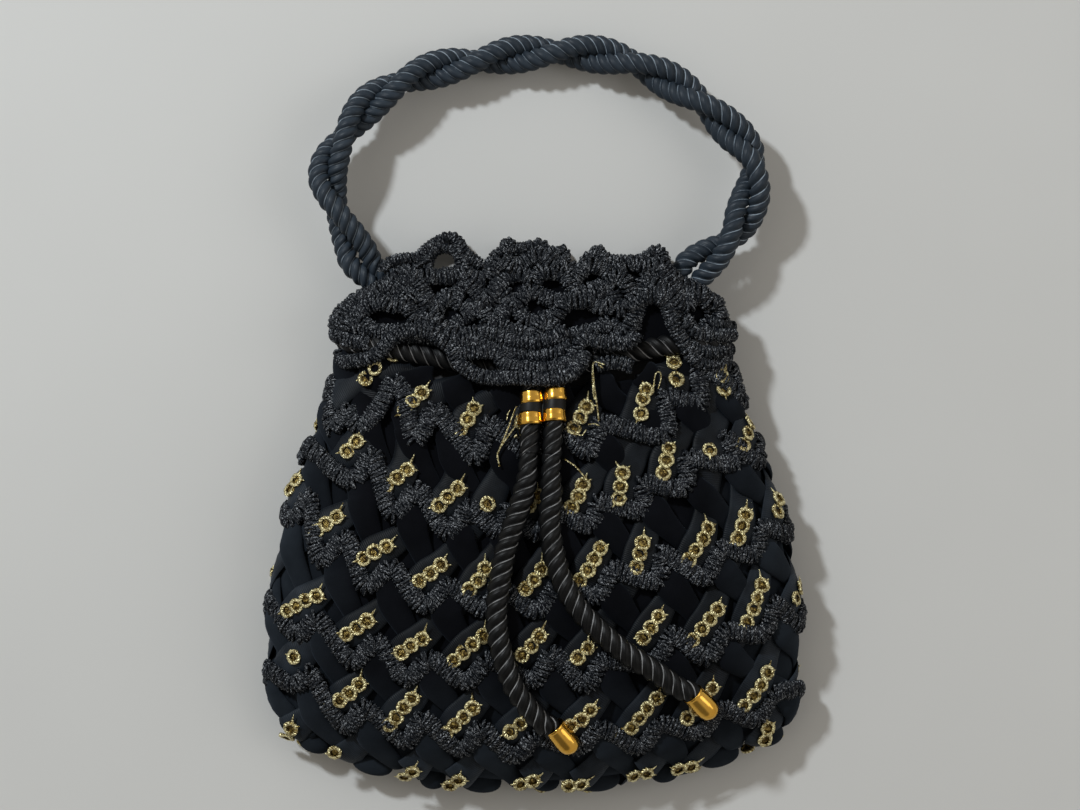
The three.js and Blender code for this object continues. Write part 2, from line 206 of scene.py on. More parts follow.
def above_table(z, low=0.5, soft=1.1):
    """Heights kept above the table: low + soft * log(1 + exp((z - low) / soft))."""
    return low + soft * np.logaddexp(0, (z - low) / soft)


body = Skin(BODY, (2.6, 5), -0.5, 6.15)
collar = Skin(COLLAR, (4, 4), -0.5, 1.5)


class Form:
    """Points, faces and a texture place for each corner of each face."""

    def __init__(self, points, faces, places):
        self.points = np.asarray(points, float).reshape(-1, 3)
        self.faces, self.places = faces, places

    def flip(self):
        """The same form with its faces turned round."""
        return Form(self.points, [f[:, ::-1] for f in self.faces], [p[:, ::-1] for p in self.places])


def gather(forms):
    """All the forms as one."""
    counts = np.cumsum([0] + [len(f.points) for f in forms])
    faces, places = {4: [], 3: []}, {4: [], 3: []}
    for shift, form in zip(counts, forms):
        for f, p in zip(form.faces, form.places):
            faces[f.shape[1]].append(f + shift)
            places[f.shape[1]].append(p)
    return Form(np.concatenate([f.points for f in forms]),
                *([np.concatenate(found) for found in kind.values() if found] for kind in (faces, places)))


def net(points, ends=True, lengths=None):
    """A grid of points as a surface whose rows are closed rings, with a fan over each end.
    Its texture place is the share of the way round, and the length along in centimetres."""
    rows, columns = points.shape[:2]
    if lengths is None:
        lengths = run(points.mean(1)) / 10
    i, j = (a.ravel() for a in np.indices((rows - 1, columns)))
    k = (j + 1) % columns
    quads = np.stack([i * columns + j, i * columns + k, (i + 1) * columns + k, (i + 1) * columns + j], -1)
    corners = (j, i), (j + 1, i), (j + 1, i + 1), (j, i + 1)
    form = Form(points, [quads], [np.stack([np.stack([a / columns, lengths[b]], -1) for a, b in corners], 1)])
    if ends:
        ring = np.arange(columns)
        after = (ring + 1) % columns
        first, base = rows * columns, (rows - 1) * columns
        form.points = np.concatenate([form.points, points[0].mean(0)[None], points[-1].mean(0)[None]])
        tris = np.concatenate([np.stack([ring * 0 + first, after, ring], -1),
                               np.stack([ring * 0 + first + 1, base + ring, base + after], -1)])
        form.faces.append(tris)
        form.places.append(np.tile([[0.0, 0.0], [0.0, 0.0], [0.01, 0.0]], (len(tris), 1, 1)))
    return form


def hoop_net(points):
    """A grid of points closed both ways."""
    form = net(np.concatenate([points, points[:1]]), ends=False)
    return Form(points, [form.faces[0] % (points.shape[0] * points.shape[1])], form.places)


def oval(count, half_width, half_height, power=1.0):
    """A ring of points x = a * sin(t), y = b * cos(t), each raised to a power that squares or sharpens it."""
    t = TURN * np.arange(count) / count
    return np.stack([half_width * signed(np.sin(t), power), half_height * signed(np.cos(t), power)], -1)


def sweep(path, out, section, grow=1.0):
    """A section carried along a path: point = path + x * across + y * out, across being along x out."""
    along = tangents(path)
    out = square_to(out, along)
    across = np.cross(along, out)
    section = section * np.broadcast_to(grow, len(path))[:, None, None]
    return net(path[:, None] + section[..., :1] * across[:, None] + section[..., 1:] * out[:, None])


def even(fine, step):
    """A fine path sampled again at even steps along its length."""
    at = run(fine)
    return read_at(np.linspace(0, at[-1], max(int(round(at[-1] / step)), 2) + 1), at, fine)


def spread(points, step):
    """A smooth curve through the points, sampled evenly; its knots stand the root of each chord apart."""
    points = np.asarray(points, float)
    knots = np.concatenate([[0], np.cumsum(np.linalg.norm(np.diff(points, axis=0), axis=1) ** 0.5)])
    table = np.concatenate([knots[:, None], points], 1)
    return even(rows_at(table, np.linspace(0, knots[-1], 40 * len(points)))[:, 1:], step)


def carried(path, start):
    """Directions square to a path that turn with it as little as they can, from a first direction on."""
    along = tangents(path)
    side = np.empty_like(path)
    side[0] = square_to(start, along[0])
    for k in range(1, len(path)):
        side[k] = square_to(side[k - 1], along[k])
    return side


def wander(count, step, seed):
    """A smooth random line between about -1 and 1, that changes over a number of samples."""
    draw = np.random.default_rng(seed).uniform(-1, 1, int(count / step) + 4)
    t = np.arange(count) / step
    k = t.astype(int)
    f = t - k
    f = f * f * (3 - 2 * f)
    return draw[k] * (1 - f) + draw[k + 1] * f


def piece(name, form, material, body_name, replaced=(), shape=None):
    """Makes the mesh of a form, gives it its material, and lets it ride on a body of the frame."""
    if isinstance(form, list):
        form = gather(form)
    if shape:
        form = shape(form)
    form.points[:, 2] = above_table(form.points[:, 2], 0.15, 0.35)
    mesh = bpy.data.meshes.new(name)
    sizes = np.concatenate([np.full(len(f), f.shape[1]) for f in form.faces])
    corners = np.concatenate([f.ravel() for f in form.faces])
    starts = np.concatenate([[0], np.cumsum(sizes)[:-1]])
    mesh.vertices.add(len(form.points))
    mesh.vertices.foreach_set("co", (form.points * MM).astype(np.float32).ravel())
    mesh.loops.add(len(corners))
    mesh.loops.foreach_set("vertex_index", corners.astype(np.int32))
    mesh.polygons.add(len(sizes))
    mesh.polygons.foreach_set("loop_start", starts.astype(np.int32))
    mesh.polygons.foreach_set("use_smooth", np.full(len(sizes), True))
    places = np.concatenate([p.reshape(-1, 2) for p in form.places])
    mesh.uv_layers.new(name="Lay").data.foreach_set("uv", places.astype(np.float32).ravel())
    mesh.update(calc_edges=True)
    mesh.validate()
    obj = bpy.data.objects.new(name, mesh)
    scene.collection.objects.link(obj)
    mesh.materials.append(material)
    if body_name:
        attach(obj, body_name)
    if replaced:
        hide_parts(*replaced)
    return obj


class Socket:
    """A value in a node tree. Sums, differences and products of it add the Math nodes that work them out."""

    def __init__(self, tree, socket):
        self.tree, self.socket = tree, socket

    def __add__(self, other):
        return self.tree.math("ADD", self, other)

    def __sub__(self, other):
        return self.tree.math("SUBTRACT", self, other)

    def __rsub__(self, other):
        return self.tree.math("SUBTRACT", other, self)

    def __mul__(self, other):
        return self.tree.math("MULTIPLY", self, other)

    __radd__, __rmul__ = __add__, __mul__


class Tree:
    """The node tree of a material or of the world; its nodes come from one method."""

    def __init__(self, owner):
        owner.use_nodes = True
        self.nodes, self.links = owner.node_tree.nodes, owner.node_tree.links

    def put(self, socket, value):
        """Links a value to a socket, or sets the socket; a colour gets its alpha."""
        if isinstance(value, Socket):
            self.links.new(value.socket, socket)
        else:
            socket.default_value = (*value, 1) if socket.type == "RGBA" else value

    def node(self, kind, sockets, out=0, **settings):
        """A node of a type, with its settings, then the values or links of its sockets; gives one output."""
        made = self.nodes.new(kind)
        for key, value in settings.items():
            setattr(made, key, value)
        for key, value in sockets.items():
            self.put(made.inputs[key], value)
        return Socket(self, made.outputs[out])

    def math(self, operation, *values):
        return self.node("ShaderNodeMath", dict(enumerate(values)), operation=operation)


class Finish(Tree):
    """A material being made: its last step sets the Principled shader."""

    def __init__(self, name):
        self.material = bpy.data.materials.new(name)
        super().__init__(self.material)
        self.place = self.node("ShaderNodeTexCoord", {}, "Object")
        self.lay = Socket(self, self.place.socket.node.outputs["UV"])

    def noise(self, scale, detail=2.0, roughness=0.5, at=None):
        return self.node("ShaderNodeTexNoise", {"Vector": at or self.place, "Scale": scale, "Detail": detail,
                                                "Roughness": roughness})

    def split(self, vector):
        """The three parts of a vector."""
        return [Socket(self, out) for out in self.node("ShaderNodeSeparateXYZ", {0: vector}).socket.node.outputs]

    def ramp(self, value, low, high):
        """0 below low, 1 above high."""
        return self.node("ShaderNodeMapRange", {0: value, 1: low, 2: high})

    def mix(self, factor, a, b):
        """A colour between two colours."""
        return self.node("ShaderNodeMix", {0: factor, 6: a, 7: b}, 2, data_type="RGBA")

    def bump(self, height, depth, strength):
        """A bump of a depth in millimetres."""
        return self.node("ShaderNodeBump", {"Height": height, "Distance": depth * MM, "Strength": strength})

    def cloth(self, patches, middle, outer):
        """A colour between two, light where the patches are, that turns from the middle's pair over the middle of
        the pouch to the lighter outer pair near its sides and its foot: painted sheen, where the cloth catches light on
        the pouch's sloping sides."""
        across, along, _ = self.split(self.place)
        # away: painted sheen, 0 over the middle of the pouch and 1 near its sides and its foot, where the lighter outer
        # pair is used
        away = self.math("MAXIMUM", self.ramp(self.math("ABSOLUTE", across), 0.076, 0.112),
                         self.ramp(along, -0.112, -0.16))
        return self.mix(patches, *(self.mix(away, a, b) for a, b in zip(middle, outer)))

    def done(self, **inputs):
        """Sets the shader's sockets and gives the material."""
        for key, value in inputs.items():
            self.put(self.nodes["Principled BSDF"].inputs[key.replace("_", " ")], value)
        return self.material


def satin_cord(name, low, high, line):
    """Satin twist. Across each of its three strands the place runs from -0.5 to 0.5: a pale line of painted highlight
    lies beside each groove, where the fibres turn down and catch the light, each strand is painted in shade from dark
    beside that line to lighter at its other side, and fine fibres lean along the strand."""
    f = Finish(name)
    around, along, _ = f.split(f.lay)
    across = f.math("FRACT", around * 3.0 + 0.5) - 0.5
    slub = f.noise(420, 3.0)
    # edge: mask of the pale line of painted highlight beside each groove
    edge = f.ramp(f.math("ABSOLUTE", across - 0.41 + slub * 0.03), 0.052, 0.016)
    fibre = f.math("SINE", across * 60 + along * 30)
    cloud = f.ramp(f.noise(200, 3.0), 0.3, 0.6)
    # strand: painted shade across each strand, darkest beside the pale line and lighter towards the other groove
    strand = f.mix(f.ramp(across + fibre * 0.06 + slub * 0.3, -0.5, 0.55), high, low)
    return f.done(Base_Color=f.mix(edge * (cloud * 0.75 + 0.2), strand, line), Roughness=slub * 0.2 + 0.36,
                  Specular_IOR_Level=0.2, Normal=f.bump(fibre * 0.3 + slub, 0.12, 0.6))


def crochet_yarn():
    """Shiny black yarn of hard twisted plies: the glints on the plies are painted in as short pale dashes of highlight
    that lean across the yarn.
    The dashes follow the yarn every way, and some stitches stay nearly black."""
    f = Finish("black_crochet_yarn")
    around, along, _ = f.split(f.lay)
    lean = f.node("ShaderNodeCombineXYZ", {0: around * 9.4 - along * 15, 1: around * 2.8 + along * 6.4, 2: along * 0.8})
    dash = f.noise(1.0, 2.0, 0.6, at=lean)
    fleck = f.noise(1700, 2.0, 0.6)
    patch = f.ramp(f.noise(300, 3.0, 0.6), 0.38, 0.58)
    # Pale dashes and flecks of painted highlight: the glints on the twisted plies
    painted_glint = f.ramp(dash * 0.62 + fleck * 0.38, 0.535, 0.61) * (patch * 0.75 + 0.25)
    return f.done(Base_Color=f.mix(painted_glint, (0.0040, 0.0055, 0.0084), (0.35, 0.37, 0.40)), Roughness=fleck * 0.4 + 0.3,
                  Specular_IOR_Level=0.12, Normal=f.bump(dash * 0.8 + fleck * 0.5, 0.4, 0.8))


def velvet():
    """Deep black velvet: dull, with a nap brushed a little lighter in patches, and painted sheen that lightens it
    towards the pouch's sides and foot.
    """
    f = Finish("black_velvet")
    nap, pile = f.noise(55, 3.0, 0.6), f.noise(2400, 2.0)
    colour = f.cloth(f.ramp(nap, 0.35, 0.75) * 0.7 + pile * 0.3, ((0.0015, 0.0016, 0.0023), (0.0042, 0.0047, 0.0066)),
                     ((0.0085, 0.0112, 0.0150), (0.0190, 0.0240, 0.0310)))
    return f.done(Base_Color=colour, Roughness=0.95, Specular_IOR_Level=0.05, Sheen_Weight=0.04,
                  Sheen_Roughness=0.5, Sheen_Tint=(0.6, 0.75, 1.0), Normal=f.bump(pile * 0.6 + nap, 0.25, 0.6))


def ribbon_grosgrain():
    """Blue-black ribbon with a fine rib across it and a faint satin sheen, and painted sheen that lightens it towards
    the pouch's sides and foot.
    """
    f = Finish("blue_black_ribbon")
    rib = f.math("SINE", f.split(f.lay)[1] * (11 * TURN))
    cloud = f.noise(110, 3.0)
    colour = f.cloth(f.ramp(cloud + rib * 0.03, 0.3, 0.72), ((0.0018, 0.0024, 0.0034), (0.0068, 0.0090, 0.0122)),
                     ((0.0080, 0.0112, 0.0160), (0.0200, 0.0265, 0.0360)))
    return f.done(Base_Color=colour, Roughness=0.5, Specular_IOR_Level=0.12, Sheen_Weight=0.03,
                  Sheen_Tint=(0.7, 0.8, 1.0), Normal=f.bump(rib + cloud * 0.4, 0.1, 0.5))


def gold_thread():
    """Metallic thread, pale lemon on the outside of the rings and olive brown inside, where each hoop's inner side is
    painted darker as shade and the sunken dish is brown-gold thread, with a sparkle of turns.
    """
    f = Finish("gold_metallic_thread")
    around, along, _ = f.split(f.lay)
    # inside: 1 on each hoop's inner side, painted darker as shade, and on the dish of brown-gold thread
    inside = f.ramp(f.math("ABSOLUTE", around - 0.5), 0.36, 0.2)
    turn = f.math("SINE", around * (2 * TURN) + along * (7 * TURN))
    grain = f.noise(760, 3.0, 0.7)
    bright = f.mix(f.ramp(grain + turn * 0.03, 0.40, 0.58), (0.22, 0.15, 0.035), (1.0, 0.92, 0.55))
    inner_brown_and_shade = f.mix(f.ramp(grain, 0.46, 0.68), (0.055, 0.034, 0.009), (0.55, 0.40, 0.12))
    return f.done(Base_Color=f.mix(inside, bright, inner_brown_and_shade), Metallic=0.82, Roughness=grain * 0.3 + 0.17,
                  Normal=f.bump(turn * 0.3 + grain * 1.6, 0.6, 1.0))


def gold_metal():
    """Polished gold-coloured metal with faint wipes."""
    f = Finish("polished_gold_metal")
    wipe = f.noise(90, 3.0)
    return f.done(Base_Color=f.mix(wipe, (0.70, 0.35, 0.035), (0.93, 0.58, 0.13)), Metallic=1.0,
                  Roughness=wipe * 0.1 + 0.12, Normal=f.bump(f.noise(210, 2.0), 0.06, 0.5))


def black_resin():
    """Smooth black resin with a soft gloss."""
    f = Finish("black_resin")
    cloud = f.noise(240, 3.0)
    return f.done(Base_Color=f.mix(cloud, (0.0025, 0.0025, 0.003), (0.011, 0.0105, 0.010)),
                  Roughness=cloud * 0.3 + 0.35, Specular_IOR_Level=0.2, Normal=f.bump(cloud, 0.06, 0.5))


def lining_cloth():
    """Black lining: a plain close weave with soft creases."""
    f = Finish("black_lining_cloth")
    warp, weft = (f.math("SINE", part * 7000) for part in f.split(f.place)[:2])
    crease = f.noise(40, 2.0)
    return f.done(Base_Color=f.mix(crease, (0.004, 0.004, 0.005), (0.014, 0.014, 0.017)), Roughness=0.6,
                  Normal=f.bump(warp * weft * 0.4 + crease * 2, 0.2, 0.6))


def pale_floor():
    """Plain pale floor with the faintest cloudiness."""
    f = Finish("pale_floor")
    cloud = f.noise(5, 4.0)
    return f.done(Base_Color=f.mix(cloud, (0.535, 0.535, 0.528), (0.595, 0.595, 0.587)), Roughness=0.75,
                  Normal=f.bump(f.noise(300, 3.0), 0.05, 0.3))


# The rope is the same black satin as the cord, painted lighter and bluer: painted sheen, where the handle catches more
# light
CORD = satin_cord("black_satin_cord", (0.0014, 0.0016, 0.002), (0.0056, 0.006, 0.0068), (0.27, 0.27, 0.275))
ROPE_PAINTED_SHEEN = satin_cord("black_satin_rope_painted_sheen", (0.015, 0.0215, 0.031), (0.028, 0.039, 0.053), (0.25, 0.30, 0.355))
YARN = crochet_yarn()
VELVET = velvet()
RIBBON = ribbon_grosgrain()
THREAD = gold_thread()
METAL = gold_metal()
RESIN = black_resin()
LINING = lining_cloth()

# Camera straight above, as the photograph was taken: 486 mm of floor across 1080 pixels
VIEW_WIDTH, VIEW_HEIGHT, VIEW_LEVEL = 486, 1300, 22
camera_data = bpy.data.cameras.new("camera")
camera_data.sensor_fit = "HORIZONTAL"
camera_data.sensor_width = 36
camera_data.lens = 36 * VIEW_HEIGHT / VIEW_WIDTH
camera_data.clip_start, camera_data.clip_end = 0.05, 20
camera = bpy.data.objects.new("camera", camera_data)
camera.location = (2.7 * MM, 3.4 * MM, (VIEW_HEIGHT + VIEW_LEVEL) * MM)
scene.collection.objects.link(camera)
scene.camera = camera


# Cords

STRAND_SPREAD = 0.36


def strands(path, radius, lead, start, first, taper, sides=36):
    """Three strands laid round each other as one skin. Round a ring the radius is that of three circles set at
    STRAND_SPREAD * R from the middle, so grooves run between them; the ring turns once over each lead."""
    at = run(path)
    out = carried(path, np.asarray(first, float))
    angle = TURN * np.arange(sides) / sides
    nearest = (angle * 3 / TURN + 0.5) % 1 * (TURN / 3) - TURN / 6
    centre, strand = STRAND_SPREAD * radius, (1 - STRAND_SPREAD) * radius
    reach = centre * np.cos(nearest) + np.sqrt(np.maximum(strand**2 - (centre * np.sin(nearest)) ** 2, 0))
    way = swing(angle + (TURN * at / lead)[:, None] + start, out[:, None], np.cross(tangents(path), out)[:, None])
    return net(path[:, None] + taper[:, None, None] * reach[None, :, None] * way, lengths=at / 10)


slide = unit(np.array([-0.052, -0.981, 0.186]))
sideways = square_to(np.array([1.0, 0.0, 0.0]), slide)
cord_out = np.cross(sideways, -slide)
bead_centre = np.array([4.05, 2.9, 42.1])


def on_cord(side, along):
    """A point on one of the two straight cords that the bead slides on."""
    return bead_centre + side * BEAD_SPACING / 2 * sideways + along * slide


def under_bead(form):
    """A form pressed down where the bead slides over it: within the width of the two cords a point's height over
    their axes stays below -sqrt(R^2 - d^2), d being its distance past the nearer axis."""
    off = form.points - bead_centre
    along, side, up = off @ slide, np.abs(off @ sideways), off @ cord_out
    room = BEAD_CLEAR_R**2 - np.maximum(side - BEAD_SPACING / 2, 0) ** 2
    depth = np.sqrt(np.maximum(room, 0))
    under = -depth - 0.15 * np.exp(np.minimum(-depth - up, 0))
    pressed = np.where((room > 0) & (up > under), under - up, 0)
    pressed *= np.clip((along - SLIDE_TOP) / 2, 0, 1) * np.clip((32 - along) / 3, 0, 1)
    form.points = form.points + pressed[:, None] * cord_out
    return form


NECK_LEFT = [
    [-6, 18.6, 31], [-16, 19.7, 28.9], [-40, 23.9, 28.9], [-62, 28.2, 28.9], [-74, 30.2, 28.2],
    [-82, 31.2, 23.4], [-84.2, 32.2, 16.9], [-82, 31.2, 10.4], [-74, 28.6, 5.6], [-62, 25.6, 4.95],
    [-40, 21.8, 4.95], [-16, 19.3, 4.95],
]
neck_right = [[-x, y, z] for x, y, z in NECK_LEFT]
neck_right[:5] = [[14.5, 19.4, 31], [24, 22.3, 28.9], [41, 26.2, 28.9], [60, 30, 28.9], [74, 31, 28.2]]
TAIL_CUT = 22
CORD_LEAD, ROPE_LEAD = 16.8, 14.8
straight = [TAIL_CUT, 15, 9, -1, SLIDE_TOP + 1, SLIDE_TOP]
neck_path = spread([on_cord(-1, t) for t in straight] + [[-1.6, 17, 36]] + NECK_LEFT + [[0, 19, 4.95]]
                   + neck_right[::-1] + [[10.2, 17, 36]] + [on_cord(1, t) for t in straight[::-1]], CORD_STEP)


def fullness(path, side):
    """Share of the full size along a cord: it is drawn thin where the bead grips and slides."""
    along = (path - on_cord(side, 0)) @ slide
    near = np.linalg.norm(path - on_cord(side, 0) - along[:, None] * slide, axis=1) < 3
    grip = np.clip(np.maximum((-along - 7.5) / 4, (along - BEAD_TRAVEL - 10.5) / 8), 0, 1)
    return 1 - (1 - CORD_R / CORD_CREST_R) * near * (1 - grip)


neck = strands(neck_path, CORD_CREST_R, CORD_LEAD, 0.4, cord_out,
               np.minimum(fullness(neck_path, -1), fullness(neck_path, 1)))
neck_rings = neck.points[:-2].reshape(len(neck_path), -1, 3)
piece("neck_cord", neck, CORD, "pouch", ["drawstring_neck"])

TAILS = {
    "left": [
        [-5.3, -38.6, 48.6], [-9.6, -51.5, 49.4], [-13.1, -63.5, 50.4], [-14.8, -73.8, 50.9],
        [-16.2, -83.8, 51], [-16.2, -93.2, 51], [-14.8, -102.7, 50.7], [-12.2, -112.2, 49.8],
        [-8.3, -121.7, 48.2], [-2.3, -130.3, 46], [3.7, -137.2, 43.7], [6.6, -138.8, 42.6], [9.2, -142.3, 41],
    ],
    "right": [
        [7.8, -36, 48.5], [6.9, -46.5, 49.1], [8.2, -58, 50], [11.5, -71.3, 50.8], [16.8, -82, 51],
        [25.2, -92.4, 50.8], [39.9, -105.3, 49.5], [54.8, -115.1, 46.7], [62.7, -121, 44.4], [69.5, -124.1, 43.1],
        [72.3, -127.6, 41],
    ],
}
CAPS = {
    "left": (np.array([9.4, -139.9, 41.9]), unit(np.array([8.7, -10.6, -5.1]))),
    "right": (np.array([70.8, -125.2, 42.2]), unit(np.array([9.8, -10.2, -5.7]))),
}


def lathe(profile, centre, direction, across, close=net, sides=48):
    """A profile of radius and distance along, turned round a direction. A profile that comes back to its start is
    closed with hoop_net."""
    profile = np.asarray(profile, float)
    up = np.cross(direction, across)
    angle = TURN * np.arange(sides) / sides
    return close(centre + profile[:, None, 1:] * direction
                 + profile[:, None, :1] * swing(angle, up, np.cross(direction, up)))


def rounded(corners, radius, count):
    """A profile whose corners are turned into short arcs by cutting each one back on both sides."""
    corners = np.asarray(corners, float)
    t = np.linspace(0, 1, count)[:, None]
    out = [corners[:1]]
    for a, b, c in zip(corners[:-2], corners[1:-1], corners[2:]):
        p, q = (b + unit(d - b) * min(radius, np.linalg.norm(d - b) / 2.2) for d in (a, c))
        out.append((1 - t) ** 2 * p + 2 * t * (1 - t) * b + t**2 * q)
    return np.concatenate([*out, corners[-1:]])


CAP_PROFILE = rounded([[0, 1.5], [4.1, 1.5], [4.5, -1.2], [5.1, -1.4], [5.2, -0.5], [4.95, 0.1], [5.15, 3],
                       [5.35, 6.9], [5.3, 9.6], [4.7, 12], [3.4, 13.6], [1.6, 14.3], [0, 14.4]], 0.7, 5)
for side, sign in (("left", -1), ("right", 1)):
    mouth, direction = CAPS[side]
    across = unit(np.cross(direction, [0, 0, 1]))
    cap = piece(f"gold_cap_{side}", lathe(CAP_PROFILE, mouth, direction, across), METAL, f"tail_{side}",
                [f"end_cap_{side}"])
    tail_path = spread([on_cord(sign, t) for t in (TAIL_CUT, TAIL_CUT + 4, HINGE_ALONG - 1, HINGE_ALONG + 2)]
                       + TAILS[side], CORD_STEP)
    crest = neck_rings[0 if sign < 0 else -1, 0] - tail_path[0]
    begin = float(np.arctan2(crest @ np.cross(slide, cord_out), crest @ cord_out))
    held = np.clip((tail_path - mouth) @ direction + 3, 0, 3) / 3
    tail = strands(tail_path, CORD_CREST_R, CORD_LEAD, begin, cord_out, fullness(tail_path, sign) * (1 - 0.16 * held))
    tail = piece(f"cord_tail_{side}", tail, CORD, None, [f"drawstring_tail_{side}"])
    tuple(on_cord(sign, HINGE_ALONG - 3) * MM)
    tuple(on_cord(sign, HINGE_ALONG + 14) * MM)
    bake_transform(tail)
    tuple(on_cord(sign, BEAD_LENGTH / 2) * MM)

# Bead: four flared gold drums on a black core that joins the two sides
DRUM_PROFILE = rounded([[4.75, 5.3], [4.75, 0.3], [4.8, 0], [5.05, 0], [5.25, 0.5], [5.3, 2.6], [5.5, 4.8],
                        [5.25, 5.5], [4.85, 5.6], [4.75, 5.3]], 0.3, 4)
CORE_PROFILE = rounded([[4.7, 3.2], [4.7, -3.2], [4.8, -3.4], [5.0, -3.2], [5.0, 3.2], [4.8, 3.4], [4.7, 3.2]],
                       0.15, 4)
DRUM_MIDDLE, BEAD_LEAN = 2.8, {-1: 1.5, 1: -0.5}
drums = [lathe(DRUM_PROFILE - [0, DRUM_MIDDLE], on_cord(side, start + DRUM_MIDDLE + BEAD_LEAN[side]),
               unit(slide + 0.1 * sideways), sideways, hoop_net) for side in (-1, 1) for start in (-7.7, 1.9)]
piece("gold_drums", drums, METAL, "bead", ["cord_bead"])
core = [lathe(CORE_PROFILE, on_cord(side, 0), slide, sideways, hoop_net) for side in (-1, 1)]
core.append(sweep(np.stack([bead_centre + t * slide for t in np.linspace(-6.6, 6.4, 9)]), cord_out,
                  oval(20, 0.75, 2.2, 0.7)))
piece("bead_core", core, RESIN, "bead")

# Handle: two ropes laid round each other, with their ends inside the collar
ARCH = [
    [-74.9, 61.6, 16.9], [-76.1, 64.1, 16.9], [-82.5, 77.5, 18.6], [-89.3, 92.2, 19.6], [-93, 108.5, 19.6],
    [-85.5, 124.9, 19], [-73.6, 140, 17.6], [-57.7, 150.7, 14.6], [-41.2, 156.3, 12], [-27.6, 159.2, 10.6],
    [-8.3, 162.5, 10], [8.9, 163.8, 10], [26, 162.9, 10], [44.3, 158.9, 11.4], [60.4, 150.7, 13.8],
    [74.2, 141.3, 16.6], [86.8, 129.4, 18.4], [97.6, 117, 19.4], [98.8, 103, 19.8], [95.3, 90.5, 19.4],
    [88.7, 78.2, 18.6], [71.7, 64.3, 16.9], [69.2, 62.3, 16.9],
]
ROPE_ENDS = {-1: [[-67.2, 57, 16.5], [-63, 50, 16.5], [-59.4, 43, 16.5]],
             1: [[67.4, 57, 16.7], [63.4, 50, 16.5], [60, 43, 16.5]]}
FIRST_CROSSING, LAST_CROSSING, CROSSINGS, SIDE_BY_SIDE = 34, 24, 9, 7
arch_path = spread(ARCH, CORD_STEP)
arch_length = run(arch_path)[-1]


def rope_path(phase):
    """One rope of the pair: the arch plus R * (cos, sin) of an angle that turns half round between crossings."""
    s = np.linspace(0, arch_length, len(arch_path))
    half_twist = (arch_length - FIRST_CROSSING - LAST_CROSSING) / (CROSSINGS - 1)
    before = (FIRST_CROSSING - s) / (FIRST_CROSSING - SIDE_BY_SIDE)
    after = (s - arch_length + LAST_CROSSING) / (LAST_CROSSING - SIDE_BY_SIDE)
    turns = np.where(before > 0, -0.5 * np.minimum(before, 1),
                     np.where(after > 0, CROSSINGS - 1 + 0.5 * np.minimum(after, 1), (s - FIRST_CROSSING) / half_twist))
    along = tangents(arch_path)
    out = unit(np.stack([-along[:, 1], along[:, 0], 0 * s], -1))
    root = np.minimum(s, arch_length - s)
    apart = ROPE_CLOSE_R + (HANDLE_PAIR_R - ROPE_CLOSE_R) * np.clip(1.3 - root / 50, 0, 1)
    return arch_path + apart[:, None] * swing(phase + np.pi * (0.5 - turns), out, -np.cross(out, along))


for name, phase, side, ends in (("a", 0, 1, ("left_inner", "right_outer")),
                                ("b", np.pi, -1, ("left_outer", "right_inner"))):
    rope = rope_path(phase)
    rope = rope[rope[:, 1] > HANDLE_CUT_Y - 1]
    left, right = ([[x + side * HANDLE_PAIR_R, y, z] for x, y, z in ROPE_ENDS[at]] for at in (-1, 1))
    rope = even(spread(np.concatenate([left[::-1], rope[4:-4:10], right]), CORD_STEP), CORD_STEP)
    inside = np.clip((HANDLE_CUT_Y - 2 - rope[:, 1]) / 8, 0, 1)
    obj = piece(f"twisted_rope_{name}", strands(rope, CORD_FULL_R, ROPE_LEAD, phase, (0, 0, 1), 1 - 0.15 * inside),
                ROPE_PAINTED_SHEEN, None, [f"handle_rope_{name}", *(f"handle_end_{end}" for end in ends)])
    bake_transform(obj)


# Weave

def laid(skin, u, v, section, lift, width):
    """A band on the skin: each point of its section sits square across the centreline, measured in the skin's own
    plane, at the skin's height plus the lift."""
    size, along, clear = skin.plane(u, v)
    du, dv = np.gradient(u), np.gradient(v)
    right, up = -(du * size + dv * along), -dv * clear
    length = np.hypot(right, up)
    x, y = section[:, 0] * width[:, None], section[:, 1]
    uu, vv = skin.move(u[:, None] + 0 * x, v[:, None] + 0 * x, x * (up / length)[:, None],
                       -x * (right / length)[:, None])
    return skin.at(uu, vv, lift[:, None] + y)


def centred(skin, u, v, lift):
    """Path on the skin with its normals."""
    return skin.at(u, v, lift), unit(skin.sample(skin.out, u, v))


